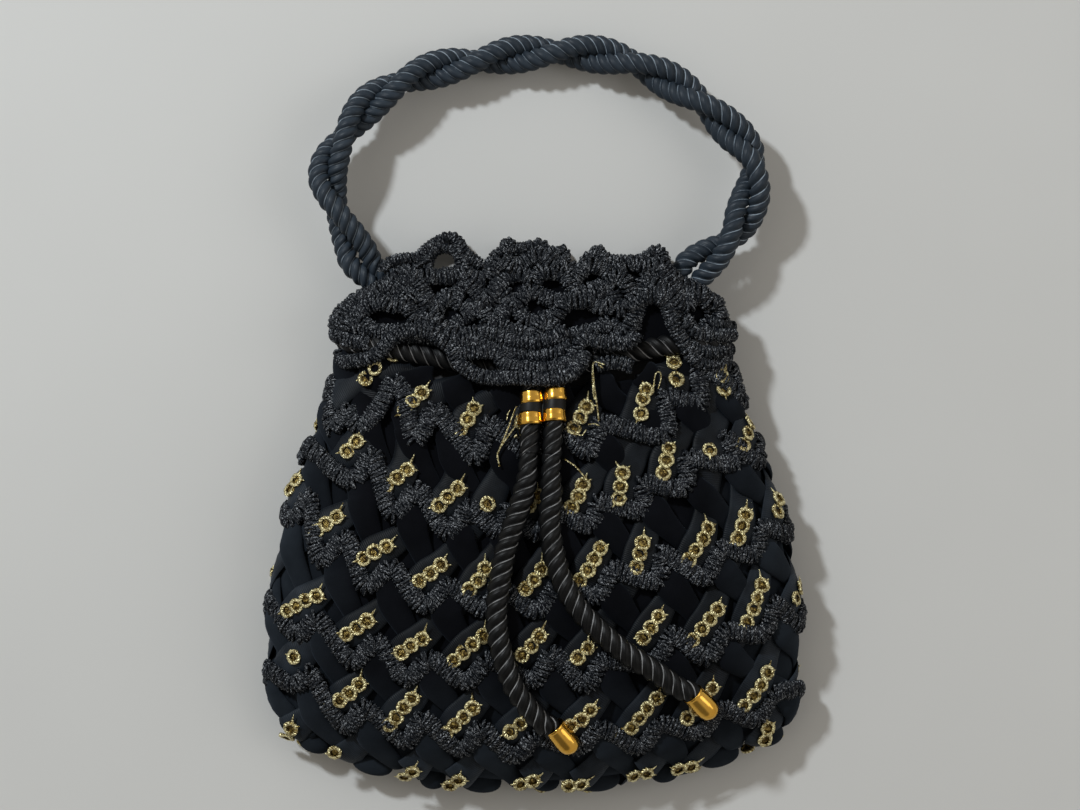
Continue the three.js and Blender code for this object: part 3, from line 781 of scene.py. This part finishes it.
# Chain segments seen in the photograph, by row: column, x, y, angle seen from above, number of rings
CHAINS = {
    1: [(4, -89.0, 6.0, 50, 0), (3, -69.8, 18.8, 38, 3), (2, -53.0, 5.0, 48, 3), (1, -29.6, -3.0, 58, 3),
        (-1, 20.4, -2.2, 57, 3), (-2, 48.5, 4.8, 80, 3), (-3, 62.8, 17.2, 90, 2), (-4, 81.8, 15.8, 100, 3)],
    2: [(4, -80.0, -16.0, 44, 2), (3, -59.9, -29.0, 39, 3), (2, -38.0, -38.3, 44, 3), (1, -20.4, -40.8, 60, 1),
        (0, 0.0, -39.4, 45, 2), (-1, 19.4, -37.4, 60, 3), (-2, 38.5, -32.9, 79, 3), (-3, 57.9, -22.3, 77, 3),
        (-4, 77.4, -17.3, 105, 1), (-5, 93.2, -9.9, 74, 3)],
    3: [(5, -105.8, -33.2, 52, 2), (4, -91.4, -50.2, 36, 3), (3, -70.0, -62.3, 29, 3), (2, -45.9, -71.4, 35, 3),
        (1, -24.6, -74.2, 52, 3), (0, 0.0, -73.4, 50, 3), (-1, 24.9, -67.8, 57, 4), (-2, 46.7, -63.4, 74, 3),
        (-3, 72.3, -58.4, 58, 4), (-4, 91.3, -51.5, 72, 3), (-5, 107.2, -42.5, 85, 2)],
    4: [(4, -102.0, -84.6, 30, 4), (3, -77.7, -94.8, 33, 3), (2, -53.7, -102.6, 33, 3), (1, -28.7, -103.5, 40, 4),
        (0, -1.2, -102.7, 47, 3), (-1, 21.2, -105.0, 48, 2), (-2, 51.3, -94.4, 53, 3), (-3, 75.3, -93.2, 52, 4),
        (-4, 96.9, -84.8, 68, 4), (-5, 117.2, -81.5, 66, 2)],
    5: [(4, -105.5, -109.0, 28, 1), (3, -83.6, -125.6, 37, 4), (2, -59.2, -132.3, 49, 4), (1, -32.8, -135.6, 45, 4),
        (0, -8.2, -138.9, 41, 2), (-1, 20.6, -134.6, 40, 3), (-2, 47.0, -134.8, 48, 5), (-3, 73.4, -128.3, 49, 4),
        (-4, 98.4, -123.2, 54, 4)],
    6: [(4, -109.2, -143.4, 50, 2), (3, -87.5, -157.6, 10, 1), (2, -55.8, -160.4, 25, 2), (1, -35.1, -163.6, 25, 2),
        (0, -3.1, -163.6, 15, 2), (-1, 18.4, -164.9, 8, 2), (-2, 47.2, -160.0, 15, 2), (-3, 65.5, -162.3, 15, 2),
        (-4, 100.4, -149.4, 49, 3)],
}
ROWS = 6


def seen_at(u, v, angle):
    """Angle in the skin's own plane of a direction that, seen from above, stands at an angle from the horizontal."""
    east = -unit(body.sample(body.around, u, v))
    north = -square_to(body.sample(body.down, u, v), east)
    c, s = np.cos(np.radians(angle)), np.sin(np.radians(angle))
    return np.degrees(np.arctan2(east[0] * s - east[1] * c, north[1] * c - north[0] * s))


# Places, tilts and ring counts of all the segments: seeded first, then set to those that are seen
place_v, place_u = np.indices((ROWS + 1, COLUMNS)).astype(float)
place_u += rng.uniform(-0.06, 0.06, place_u.shape)
place_v += rng.uniform(-0.05, 0.05, place_v.shape)
tilt = rng.uniform(40, 56, place_u.shape)
rings_at = rng.integers(2, 5, place_u.shape)
for row, found in CHAINS.items():
    for column, x, y, angle, count in found:
        u, v = body.find(x, y)
        place_u[row, column] = u + (COLUMNS if column < 0 else 0)
        place_v[row, column] = v
        tilt[row, column], rings_at[row, column] = seen_at(u, v, angle), count
tilt = np.radians(tilt)
# The hidden columns next to the seen ones keep clear of them
SIDE_GAP = 0.45
place_u[[1, 2, 4, 5, 6], 5] += SIDE_GAP
place_u[[1, 5, 6], 15] -= SIDE_GAP


def place(column, row):
    """u and v of a chain segment's middle; the columns count on round the pouch."""
    column = np.asarray(column)
    turn = np.floor_divide(column, COLUMNS)
    return place_u[row, column % COLUMNS] + COLUMNS * turn, place_v[row, column % COLUMNS]


def through(points, slopes, count):
    """A cubic through points with given slopes, count samples to a span."""
    t = np.linspace(0, 1, count, endpoint=False)[:, None]
    parts = [cubic(t, p, q, m, n) for p, q, m, n in zip(points[:-1], points[1:], slopes[:-1], slopes[1:])]
    return np.concatenate([*parts, points[-1:]])


SPAN = 26
RING_R, RING_THREAD, RING_PITCH = 2.75, 1.15, 5.6


def ring(centre, east, north, out, size, seed):
    """A thread ring: a circle of thread whose section is a rounded square, and a lower dish of thread inside it."""
    draw = np.random.default_rng(seed)
    count, sides, few = 14, 4, 7
    radial = swing(TURN * (np.arange(count) + draw.uniform()) / count, east, north)
    spot = centre + (size * RING_R * draw.uniform(0.94, 1.06, count))[:, None] * radial
    thread = (size * RING_THREAD * draw.uniform(0.82, 1.14, count))[:, None, None]
    a = TURN * (np.arange(sides) + 0.5) / sides
    hoop = hoop_net(spot[:, None] + thread * swing(a, radial[:, None], 0.8 * out))
    radial = swing(TURN * np.arange(few) / few, east, north)
    dish = net(np.stack([centre + size * (RING_R * r * radial + (high + draw.uniform(-0.12, 0.12, (few, 1))) * out)
                         for r, high in ((0.95, -0.55), (0.42, 0.0))]))
    dish.places = [np.full_like(p, 0.5) for p in dish.places]
    dish.faces[1], dish.places[1] = dish.faces[1][few:], dish.places[1][few:]
    return [hoop.flip(), dish]


def spur(start, tip, out, wide):
    """A pointed end of thread: a thin cone from start to tip that bends a little away from the skin."""
    t = np.linspace(0, 1, 4)
    path = start + t[:, None] * (tip - start) + (0.5 * t * (1 - t))[:, None] * out
    form = sweep(path, out, oval(4, 1, 0.8), wide * (1 - 0.85 * t))
    form.places = [p * [0.0, 1.0] for p in form.places]
    return form


def strip_section(count, half_width, half_height, power):
    """A flat oval whose edges turn down by 0.9 mm."""
    section = oval(count, half_width, half_height, power)
    section[:, 1] -= 0.9 * (section[:, 0] / half_width) ** 4
    return section


ribbon_section = strip_section(16, 7.4, 0.42, 0.8)
velvet_section = strip_section(18, 6.9, 1.2, 0.9)
RIBBON_START = int(0.45 * SPAN)
# Pull of a ribbon's and a strip's curve along itself, and heights: the middle of each wave, and its swing
RIBBON_PULL, RIBBON_LIFT, RIBBON_WAVE = 24, 1.7, 1.5
VELVET_PULL, VELVET_LIFT, VELVET_WAVE, VELVET_LEAN = 22, 1.4, 1.7, 68.0
CHAIN_LIFT, CHAIN_DROP, CHAIN_REACH = 3.9, 1.3, 11
LAST_ROW, FOOT_ROW = 5.98, 6.1

for k in range(COLUMNS):
    spots = np.array([place(k + j, j) for j in range(ROWS + 1)], float)
    angles = np.array([tilt[j, (k + j) % COLUMNS] for j in range(ROWS + 1)])
    ahead = np.stack(body.move(*spots.T, -RIBBON_PULL * np.cos(angles), -RIBBON_PULL * np.sin(angles)), -1) - spots
    line = through(spots, ahead, SPAN)[RIBBON_START:-1]
    over = np.cos(TURN * (np.arange(len(line)) + RIBBON_START) / SPAN)
    width = 0.86 + 0.14 * over + 0.04 * wander(len(line), 9, 100 + k)
    form = laid(body, *line.T, ribbon_section, RIBBON_LIFT + RIBBON_WAVE * over, width)
    piece(f"ribbon_{k + 1:02d}", net(form), RIBBON, "pouch", [f"chain_ribbon_{k + 1:02d}"], under_bead)
    links = []
    for j in range(1, ROWS + 1):
        (u, v), angle, count = spots[j], angles[j], rings_at[j, (k + j) % COLUMNS]
        if j == ROWS:
            v = min(v, LAST_ROW)
        right, up = np.cos(angle), np.sin(angle)
        for r in range(count):
            away = (r - (count - 1) / 2) * RING_PITCH + rng.uniform(-0.3, 0.3)
            shift = rng.uniform(-0.35, 0.35)
            uu, vv = body.move(u, v, away * right - shift * up, away * up + shift * right)
            if vv > FOOT_ROW:
                continue
            (ua, va), (ub, vb) = (body.move(uu, vv, s * 0.5 * right, s * 0.5 * up) for s in (-1, 1))
            north = unit(body.at(ub, vb) - body.at(ua, va))
            out = unit(body.sample(body.out, uu, vv))
            out = unit(out + north * rng.uniform(0.0, 0.3) + rng.normal(0, 0.07, 3))
            north = square_to(north, out)
            east = np.cross(north, out)
            centre = body.at(uu, vv, CHAIN_LIFT - CHAIN_DROP * (away / CHAIN_REACH) ** 2)
            links += ring(centre, east, north, out, rng.uniform(0.93, 1.04), int(rng.integers(1 << 30)))
            if r in (0, count - 1):
                end = 1 if r else -1
                for lean, long in ((rng.uniform(0.1, 0.9), rng.uniform(3.2, 5.2)), (rng.uniform(-0.9, -0.4), 2.4)):
                    aim = end * np.cos(lean) * north - np.sin(lean) * east
                    base = centre + 2.6 * aim
                    links.append(spur(base, base + long * aim * (1 if end > 0 else 0.55), out, 0.85))
    piece(f"chain_{k + 1:02d}", links, THREAD, "pouch", shape=under_bead)

for k in range(COLUMNS):
    corners = np.array([[place(k - j - 1 + a, j + b) for a in (0, 1) for b in (0, 1)] for j in range(ROWS)], float)
    spots = corners.mean(1)
    spots = np.array([2 * spots[0] - spots[1], *spots, 2 * spots[-1] - spots[-2]])
    lean = np.radians(VELVET_LEAN + rng.uniform(-6, 6, len(spots)))
    held = np.stack([spots[:, 0], np.clip(spots[:, 1], 0.3, FOOT_ROW)], -1)
    ahead = np.stack(body.move(*held.T, VELVET_PULL * np.cos(lean), -VELVET_PULL * np.sin(lean)), -1) - held
    line = through(spots, ahead, SPAN)
    keep = (line[:, 1] > 0.32) & (line[:, 1] < 6.08)
    over = -np.cos(TURN * (np.arange(len(line)) / SPAN - 0.5))[keep]
    line = line[keep]
    width = 0.84 + 0.16 * over + 0.05 * wander(len(line), 9, 200 + k)
    form = laid(body, *line.T, velvet_section, VELVET_LIFT + VELVET_WAVE * over, width)
    piece(f"velvet_strip_{k + 1:02d}", net(form), VELVET, "pouch", shape=under_bead)

# Wall behind the weave: inner skin from the bottom to the neck, and outer skin back down
turn_u = np.linspace(0, COLUMNS, 160, endpoint=False)


def shell(low, high, rows, inside, outside):
    """A closed double skin of the pouch: up at one height above its skin, and down at another."""
    levels = np.linspace(low, high, rows)
    return net(np.stack([body.at(turn_u, v, inside) for v in levels[::-1]]
                        + [body.at(turn_u, v, outside) for v in levels]))


piece("woven_wall", shell(0.36, 6.02, 60, -4.2, -1.6), VELVET, "pouch", ["woven_front", "woven_back"])
piece("lining", shell(-0.42, 5.8, 50, -6.6, -5.7), LINING, "pouch", ["lining_bag"])

# Velvet turned under at the bottom edge: crowned puffs between the last chain segments
FOLDS = [(-100, -151, 15), (-74, -161, 19), (-46, -165.5, 12), (-24.5, -166.5, 19), (5, -166.5, 13), (29, -166, 19),
         (59, -162.5, 13), (84, -156, 19), (107, -147, 14)]
FOLD_LONG, FOLD_HIGH, FOLD_LEVEL = 5.6, 4.9, 11.6
folds = []
for x, y, wide in FOLDS:
    middle = body.at(*body.find(x, y))
    middle[2] = FOLD_LEVEL
    lean = unit(np.array([x * 0.35, -100.0, 0]))
    side = np.array([-lean[1], lean[0], 0])
    t = np.linspace(0.06, np.pi - 0.06, 15)
    a = TURN * np.arange(24) / 24
    section = (FOLD_LONG * signed(np.cos(a), 0.9)[:, None] * lean
                + FOLD_HIGH * signed(np.sin(a), 0.8)[:, None] * np.array([0, 0, 1.0]))
    folds.append(net(np.stack([middle + wide / 2 * np.cos(q) * side + np.sin(q) ** 0.8 * section for q in t])))
piece("velvet_folds", folds, VELVET, "pouch")


def crochet_band(path, out, half_width, half_height, seed, yarn=0.86, pitch=1.8, slant=1.3):
    """A band of crochet: yarn coiled round a flat core, C + a * cos(t) * across + b * sin(t) * out, and a second,
    slower coil turned the other way. The turns lean forwards and back along the band by slant * cos(t), and all of
    it wanders a little, as stitches made by hand do."""
    along = tangents(path)
    out = square_to(out, along)
    frames = (path, np.cross(along, out), out)
    at = run(path)
    forms = []
    for turn, size, slow, key in ((1, 1.0, 1.0, seed), (-1, 0.9, 1.6, seed + 1)):
        count = int(at[-1] / (pitch * slow) * 12)
        s = np.linspace(0, at[-1], count)
        t = turn * TURN * s / (pitch * slow) + 1.1 * wander(count, 17, key) + key - seed
        lean = slant * (turn * 0.55 + 0.7 * wander(count, 60, key + 5)) * np.cos(t)
        middle, side, up = (read_at(s + lean, at, part) for part in frames)
        side, up = unit(side), unit(up)
        wide = half_width * size * (1 + 0.09 * wander(count, 8, key + 10))
        high = half_height * size * (1 + 0.4 * wander(count, 9, key + 20))
        core = middle + (wide * np.cos(t))[:, None] * side + (high * np.sin(t))[:, None] * up
        core[:, 2] = above_table(core[:, 2] - yarn) + yarn
        grow = yarn * size * (1 + 0.2 * wander(count, 4, key + 30))
        forms.append(sweep(core, swing(t, side, up), oval(5, 1, 1), grow))
    return forms


def looped(points, count):
    """A closed smooth line in u and v through points that go once round."""
    turn = np.array([COLUMNS, 0.0])
    points = np.concatenate([points[-2:] - turn, points, points[:3] + turn])
    knots = np.arange(len(points), dtype=float)
    table = np.concatenate([knots[:, None], points], 1)
    return rows_at(table, np.linspace(2, len(points) - 3, count))[:, 1:]


# Crochet waves: under each chain segment, up to its right end, then steeply down to the next one
WAVE_SAMPLES, WAVE_FOOT = 2600, 6.14
for j in range(1, ROWS):
    knots = []
    for i in range(COLUMNS):
        u, v = place(i, j)
        c, s = np.cos(tilt[j, i]), np.sin(tilt[j, i])
        room = min(1, np.linalg.norm(body.at(*place(i + 1, j)) - body.at(u, v)) / 25)
        for away, off in ((3.8, 10.0), (-4, 10.8), (-11.5, 9.6)):
            knots.append(np.array(body.move(u, v, room * away * c + off * s, room * away * s - off * c)))
    u, v = looped(np.minimum(knots, [np.inf, WAVE_FOOT]), WAVE_SAMPLES).T
    line = centred(body, u, np.minimum(v, WAVE_FOOT), 2.4 + 0.5 * wander(WAVE_SAMPLES, 90, 300 + j))
    piece(f"crochet_wave_{j}", crochet_band(*line, 3.8, 1.8, 400 + 50 * j, 0.82, 1.62), YARN, "pouch",
          shape=under_bead)

# Collar: a net of crochet bands over a loose tube, front and back, a little narrower on its right
rows_v = np.linspace(collar.low, collar.high, collar.rows)[:, None]
collar.points[..., 0] -= 4.2 * np.clip((collar.points[..., 0] - 45) / 40, 0, 1) ** 1.5 * np.clip(rows_v / 0.25, 0, 1)
TOP_EDGE = [(-88, 38), (-84, 46), (-78, 53), (-70, 56.5), (-62, 63), (-54, 65), (-46, 61), (-40.7, 58.5), (-35, 61),
            (-30, 65), (-25, 64), (-21, 63), (-14, 70), (0, 72), (10, 71), (15, 70), (18.3, 62), (23, 67), (30, 69),
            (38, 67.5), (48, 67.5), (56, 69), (60, 62), (66, 58.5), (76, 54), (82, 47), (85, 36)]
edge_places = np.array(sorted(collar.find(x, y) for x, y in TOP_EDGE))

# Openings of the front net: middle x and y, half length, half height
OPENINGS = [(-50, 25, 13, 4.5), (-64, 42, 10, 2.2), (-51, 47.8, 2.7, 2), (-42.2, 54.5, 6, 2), (-38, 44.5, 2.4, 3),
            (-24.5, 40.8, 2.4, 1.8), (-16.8, 31.5, 3.4, 3.2), (-2, 46, 2.4, 1.2), (4, 58, 2, 1),
            (21, 42.5, 8.4, 3.4), (38.7, 52.5, 2, 2.2), (52.9, 30, 8, 18), (45.5, 59, 2.2, 1.5),
            (73.5, 43.8, 3.4, 5), (22.4, 28, 4, 2.6), (-19, 21, 4.5, 2.4)]


def top_level(u):
    """Row number of the collar's top edge; the back's edge mirrors the front's."""
    w = (np.asarray(u) + COLUMNS / 2) % COLUMNS - COLUMNS / 2
    w = np.where(np.abs(w) > COLUMNS / 4, np.sign(w) * COLUMNS / 2 - w, w)
    return np.interp(w, edge_places[:, 0], edge_places[:, 1])


def parted(path, reach):
    """A path led round the openings: in the window w = exp(-s^4) along an opening, a distance d above or below its
    middle becomes (d^4 + h^4)^(1/4), h being the opening's half height and the band's reach."""
    path = path.copy()
    for x, y, long, high in OPENINGS:
        window = np.exp(-((path[:, 0] - x) / (long + 1)) ** 4)
        gap = path[:, 1] - y
        side = np.sign((gap * window).sum())
        path[:, 1] = y + gap * (1 - window) + window * side * (gap**4 + (high + reach) ** 4) ** 0.25
    return path


def on_collar(points, mirror=False):
    """An even line through x, y points seen from above, as u and v on the collar's front, or on its back."""
    line = spread([[x, y, 0] for x, y in points], BAND_STEP)
    places = np.array([collar.find(x, y) for x, y, _ in line])
    smooth = np.ones(5) / 5
    places = np.stack([np.convolve(np.pad(c, 2, mode="edge"), smooth, mode="valid") for c in places.T], -1)
    return (COLUMNS / 2 - places[:, 0] if mirror else places[:, 0]), places[:, 1]


# Loops along the top edge and round the eyelet at its left, with small picots on them
LOOPS = [
    (2.0, [(-68, 63), (-65, 67), (-58, 69), (-51, 69.3)]),
    (2.0, [(-53.5, 68), (-48, 73.5), (-42.5, 77), (-37, 79), (-33.5, 76.5), (-31.5, 72.5), (-27, 68.5), (-24, 66)]),
    (1.3, [(-47.7, 66.8), (-45.8, 72), (-40.7, 74.2), (-35.6, 72), (-33.7, 66.8), (-36, 61.2), (-40.7, 59.4),
           (-45.4, 61.2), (-47.7, 66.8)]),
    (1.8, [(-50.5, 65), (-50, 70.5), (-45.5, 75)]), (1.6, [(-34.5, 75), (-31, 69), (-30, 64)]),
    (2.0, [(-21, 65), (-17.5, 70), (-12, 73.8), (-6, 73.6), (0, 74.6), (4, 71.5)]),
    (1.6, [(-13.5, 74), (-11.4, 77), (-9, 74)]), (1.6, [(0.5, 74), (3, 76.6), (5.5, 73)]),
    (2.0, [(3, 71.5), (8, 72.2), (11.5, 70.5)]), (1.8, [(9.5, 70), (12.6, 73.8), (14.4, 70), (14, 65)]),
    (2.0, [(23, 64), (22.8, 69), (26, 70.6), (29.5, 71), (33, 69)]), (1.5, [(27, 71.8), (28.8, 74), (30.8, 71.8)]),
    (2.0, [(31, 68.5), (40, 68.2), (47.5, 68.4), (51, 70.6), (55, 73.3), (58.2, 70.5), (59, 66), (58.5, 61)]),
    (2.0, [(52.5, 66), (55, 69), (57, 65)]), (2.0, [(81, 49), (83.5, 46), (84.5, 40)]),
]
BAND_LEVELS, BAND_SWAYS = (0.12, 0.29, 0.46, 0.63, 0.79, 0.93), (0.03, 0.065, 0.065, 0.065, 0.055, 0.03)
BAND_SAMPLES, EDGE_SAMPLES = 1500, 90
for side, base in (("front", 0), ("back", 10)):
    u = np.linspace(base - 5, base + 5, EDGE_SAMPLES)
    outer, inner = (np.stack([collar.at(u, top_level(u) * c, lift) for c in np.linspace(0.0, 0.97, 24)])
                    for lift in (-2.4, -3.4))
    backing = net(np.concatenate([outer, inner[:, ::-1]], 1))
    forms = []
    u = np.linspace(base - 5, base + 5, BAND_SAMPLES)
    for band, (level, much) in enumerate(zip(BAND_LEVELS, BAND_SWAYS)):
        slow, slower, lift = (wander(BAND_SAMPLES, step, seed + band + base)
                              for step, seed in ((130, 900), (70, 930), (60, 960)))
        sway = much * np.sin(TURN * (u * 0.85 + 0.5 * band) + 1.8 * slow)
        path, out = centred(collar, u, level * top_level(u) + sway + 0.03 * slower, 0.4 + 2.0 * lift)
        if side == "front":
            path = parted(path, 4.0)
        forms += crochet_band(path, out, 3.4, 2.1, 1000 + 60 * band + 7 * base, pitch=1.85)
    loops = []
    for n, (wide, points) in enumerate(LOOPS):
        u, v = on_collar(points, mirror=side == "back")
        lift = (0.3 if side == "front" else -0.6) + rng.uniform(-1.5, 1.2) * np.sin(np.linspace(0, np.pi, len(u)))
        loops += crochet_band(*centred(collar, u, v, lift), wide, 1.6, 1500 + 40 * n + 9 * base)
    body_name = None if side == "front" else "pouch"
    parts = [piece(f"collar_net_{side}", forms, YARN, body_name, [f"collar_{side}"]),
             piece(f"collar_loops_{side}", loops, YARN, body_name),
             piece(f"collar_backing_{side}", backing, VELVET, body_name)]
    if side == "front":
        for part in parts:
            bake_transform(part)

# Side knots of the collar, where the net gathers beyond the seam
KNOTS = [[(-82, 50, 21), (-87, 46, 23), (-90, 39, 22), (-87, 32, 20), (-82, 28, 19)],
         [(-80, 44, 27), (-84, 38, 28), (-85, 30, 26)], [(80, 45, 21), (83.5, 38, 22), (86, 30, 21), (87, 22, 19)],
         [(78, 36, 27), (82, 29, 27), (86, 23, 24)]]
forms = []
for n, points in enumerate(KNOTS):
    path = spread(points, BAND_STEP)
    out = unit(path * [1.0, 0.0, 0.0] + [0.0, 0.0, 60.0])
    forms += crochet_band(path, out, 2.4, 1.8, 1900 + n, 0.88)
piece("collar_side_knots", forms, YARN, "pouch")

# Hem that hangs over the drawstring at the front, its lines with their heights above the collar
HEM = [
    (4.6, [(-88, 28), (-83, 24), (-75, 24), (-68.5, 26.5), (-63.5, 32.5), (-58, 36.8), (-52, 37), (-45, 35.6),
           (-39, 31), (-33.5, 26.5), (-26, 27.4), (-18, 27), (-11, 22), (0, 19.6), (11, 21.4), (17, 25), (22, 33),
           (32, 31.6), (42, 31.8), (45.5, 36)]),
    (4.2, [(-35, 32), (-26, 32), (-14, 28), (0, 25.6), (11, 27.4), (17, 31)]),
    (4.4, [(-36, 28), (-32.5, 21.5), (-27, 17.5), (-20, 15.4), (-12, 16)]),
    (3.6, [(-32, 35), (-22, 36), (-8, 32), (0, 31.6), (9, 33.5), (15, 37)]),
    (2.2, [(27.5, 20.5), (33, 22.4), (38, 22.4), (44, 20.5)]),
    (4.4, [(60, 42.5), (63, 37), (66, 32), (71, 28.5), (78, 27.5), (86, 30)]),
    (4.0, [(64, 36), (67, 30), (70, 24.5), (77, 21.5), (88, 24.5)]), (4.2, [(66, 42), (71, 37), (78, 35), (86, 36)]),
    (4.2, [(-88, 37), (-82, 34.5), (-77, 31.5), (-72, 31)]),
]
# The hem's middle, where it hangs over the two cords above the bead
OVER_CORDS = [
    [(-20, 15.2, 38.6), (-15, 15.4, 41.6), (-9, 15.2, 45.6), (-1.5, 15, 47.4), (4, 14.8, 46.6), (9.5, 15, 47.4),
     (16, 17, 44.6), (20.5, 21.5, 40.4), (23, 27, 37.5)],
    [(-16, 25.5, 37), (-12.5, 21.5, 40.4), (-7.5, 19.6, 43.4), (0, 19.2, 44.4), (9, 19.2, 44.2), (15, 21.5, 41.4),
     (19, 27, 37.5)],
]
forms = []
for n, (lift, points) in enumerate(HEM):
    u, v = on_collar(points)
    line = centred(collar, u, v, lift + 0.9 * wander(len(u), 40, 2000 + n))
    forms += crochet_band(*line, 2.8, 1.6, 2000 + 20 * n)
for n, points in enumerate(OVER_CORDS):
    forms += crochet_band(spread(points, BAND_STEP), np.array([0.0, -0.1, 1.0]), 2.8, 1.5, 2200 + 20 * n)
piece("collar_frill", forms, YARN, "pouch")

# Loose metallic threads by the bead: x, y and the height above the skin
LOOSE = [
    (0.42, [(-7.6, 1.5, 7), (-9.3, -2.5, 6.4), (-11.5, -8.9, 6), (-14.7, -16.4, 6), (-15.8, -19.7, 6),
            (-15, -24.7, 5.6)]),
    (0.3, [(-10.4, 0.6, 6), (-11.4, -1.5, 6), (-12.2, -4.4, 6)]),
    (0.3, [(-7.4, -1.5, 7), (-6.9, -7.3, 6), (-5.6, -12.7, 6)]),
    (0.36, [(-6.9, -5.4, 7), (-10, -9.8, 6), (-14.7, -16.2, 6)]),
    (0.55, [(-8.6, -11.6, 6), (-7.4, -11.2, 6.6), (-6.8, -12.6, 6)]),
    (0.4, [(31.3, 18.2, 9.5), (27.2, 16.6, 9.5), (26.6, 12, 8.5), (27.5, 6.1, 6.5), (28.1, -0.4, 6),
           (28.6, -4.6, 5.6)]),
    (0.4, [(30.4, 18.6, 9.2), (26.8, 15.6, 9), (26.2, 9, 7.5), (26.9, 5, 6)]),
    (0.3, [(23.8, -6.3, 6), (26.4, -5.9, 6.4), (28.9, -6.8, 6)]),
    (0.3, [(16.8, -9.6, 7), (20.8, -10.6, 6.6), (22.8, -8.2, 6)]),
    (0.36, [(12.8, -20.6, 6.5), (17.9, -24.5, 6), (21.1, -27.6, 5.6), (24.5, -32, 5)]),
    (0.32, [(52.3, 9.8, 5.6), (53.6, 15.2, 6), (55.4, 16.4, 6), (55.9, 14, 6), (54.4, 9.6, 5.6)]),
]
forms = []
for wide, points in LOOSE:
    path = spread([body.at(*body.find(x, y), lift) for x, y, lift in points], 0.4)
    forms.append(sweep(path, np.array([0.0, 0.0, 1.0]), oval(6, wide, wide)))
piece("loose_gold_threads", forms, THREAD, "pouch", shape=under_bead)

# Floor and light
floor_mesh = bpy.data.meshes.new("floor")
floor_mesh.from_pydata([(-4, -4, 0), (4, -4, 0), (4, 4, 0), (-4, 4, 0)], [], [(0, 1, 2, 3)])
floor_mesh.materials.append(pale_floor())
floor = bpy.data.objects.new("floor", floor_mesh)
scene.collection.objects.link(floor)


def lamp(name, place, aim, size, power, tint):
    """A square area lamp at a place, turned to a point."""
    data = bpy.data.lights.new(name, "AREA")
    data.size, data.energy, data.color = size, power, tint
    obj = bpy.data.objects.new(name, data)
    obj.location = place
    back = np.array(place) - np.array(aim)
    level = float(np.hypot(back[0], back[1]))
    obj.rotation_euler = (float(np.arctan2(level, back[2])), 0, float(np.arctan2(back[0], -back[1])))
    scene.collection.objects.link(obj)


lamp("main_lamp", (-0.95, 1.02, 1.35), (0, 0, 0), 0.16, 26, (0.90, 0.96, 1.0))
lamp("side_lamp", (1.3, 0.12, 1.0), (0, 0, 0), 1.0, 4, (1.0, 1.0, 1.0))
# The world is a plain level with two soft darker patches, one straight above and one low beyond the pouch's foot
world = bpy.data.worlds.new("world")
sky = Tree(world)
ways = sky.node("ShaderNodeTexCoord", {}, "Generated")
level = 0.5
for toward, start, end in (((0, 0, 1), 0.88, 0.97), ((-0.12, -0.80, 0.588), 0.78, 0.95)):
    aim = sky.node("ShaderNodeVectorMath", {0: ways, 1: toward}, "Value", operation="DOT_PRODUCT")
    patch = {"Value": aim, "From Min": start, "From Max": end, "To Min": 1.0, "To Max": 0.3}
    level = sky.node("ShaderNodeMapRange", patch, interpolation_type="SMOOTHSTEP") * level
sky.put(sky.nodes["Background"].inputs["Strength"], level)
sky.put(sky.nodes["Background"].inputs["Color"], (0.90, 0.845, 0.75))
scene.world = world
scene.view_settings.view_transform = "Standard"
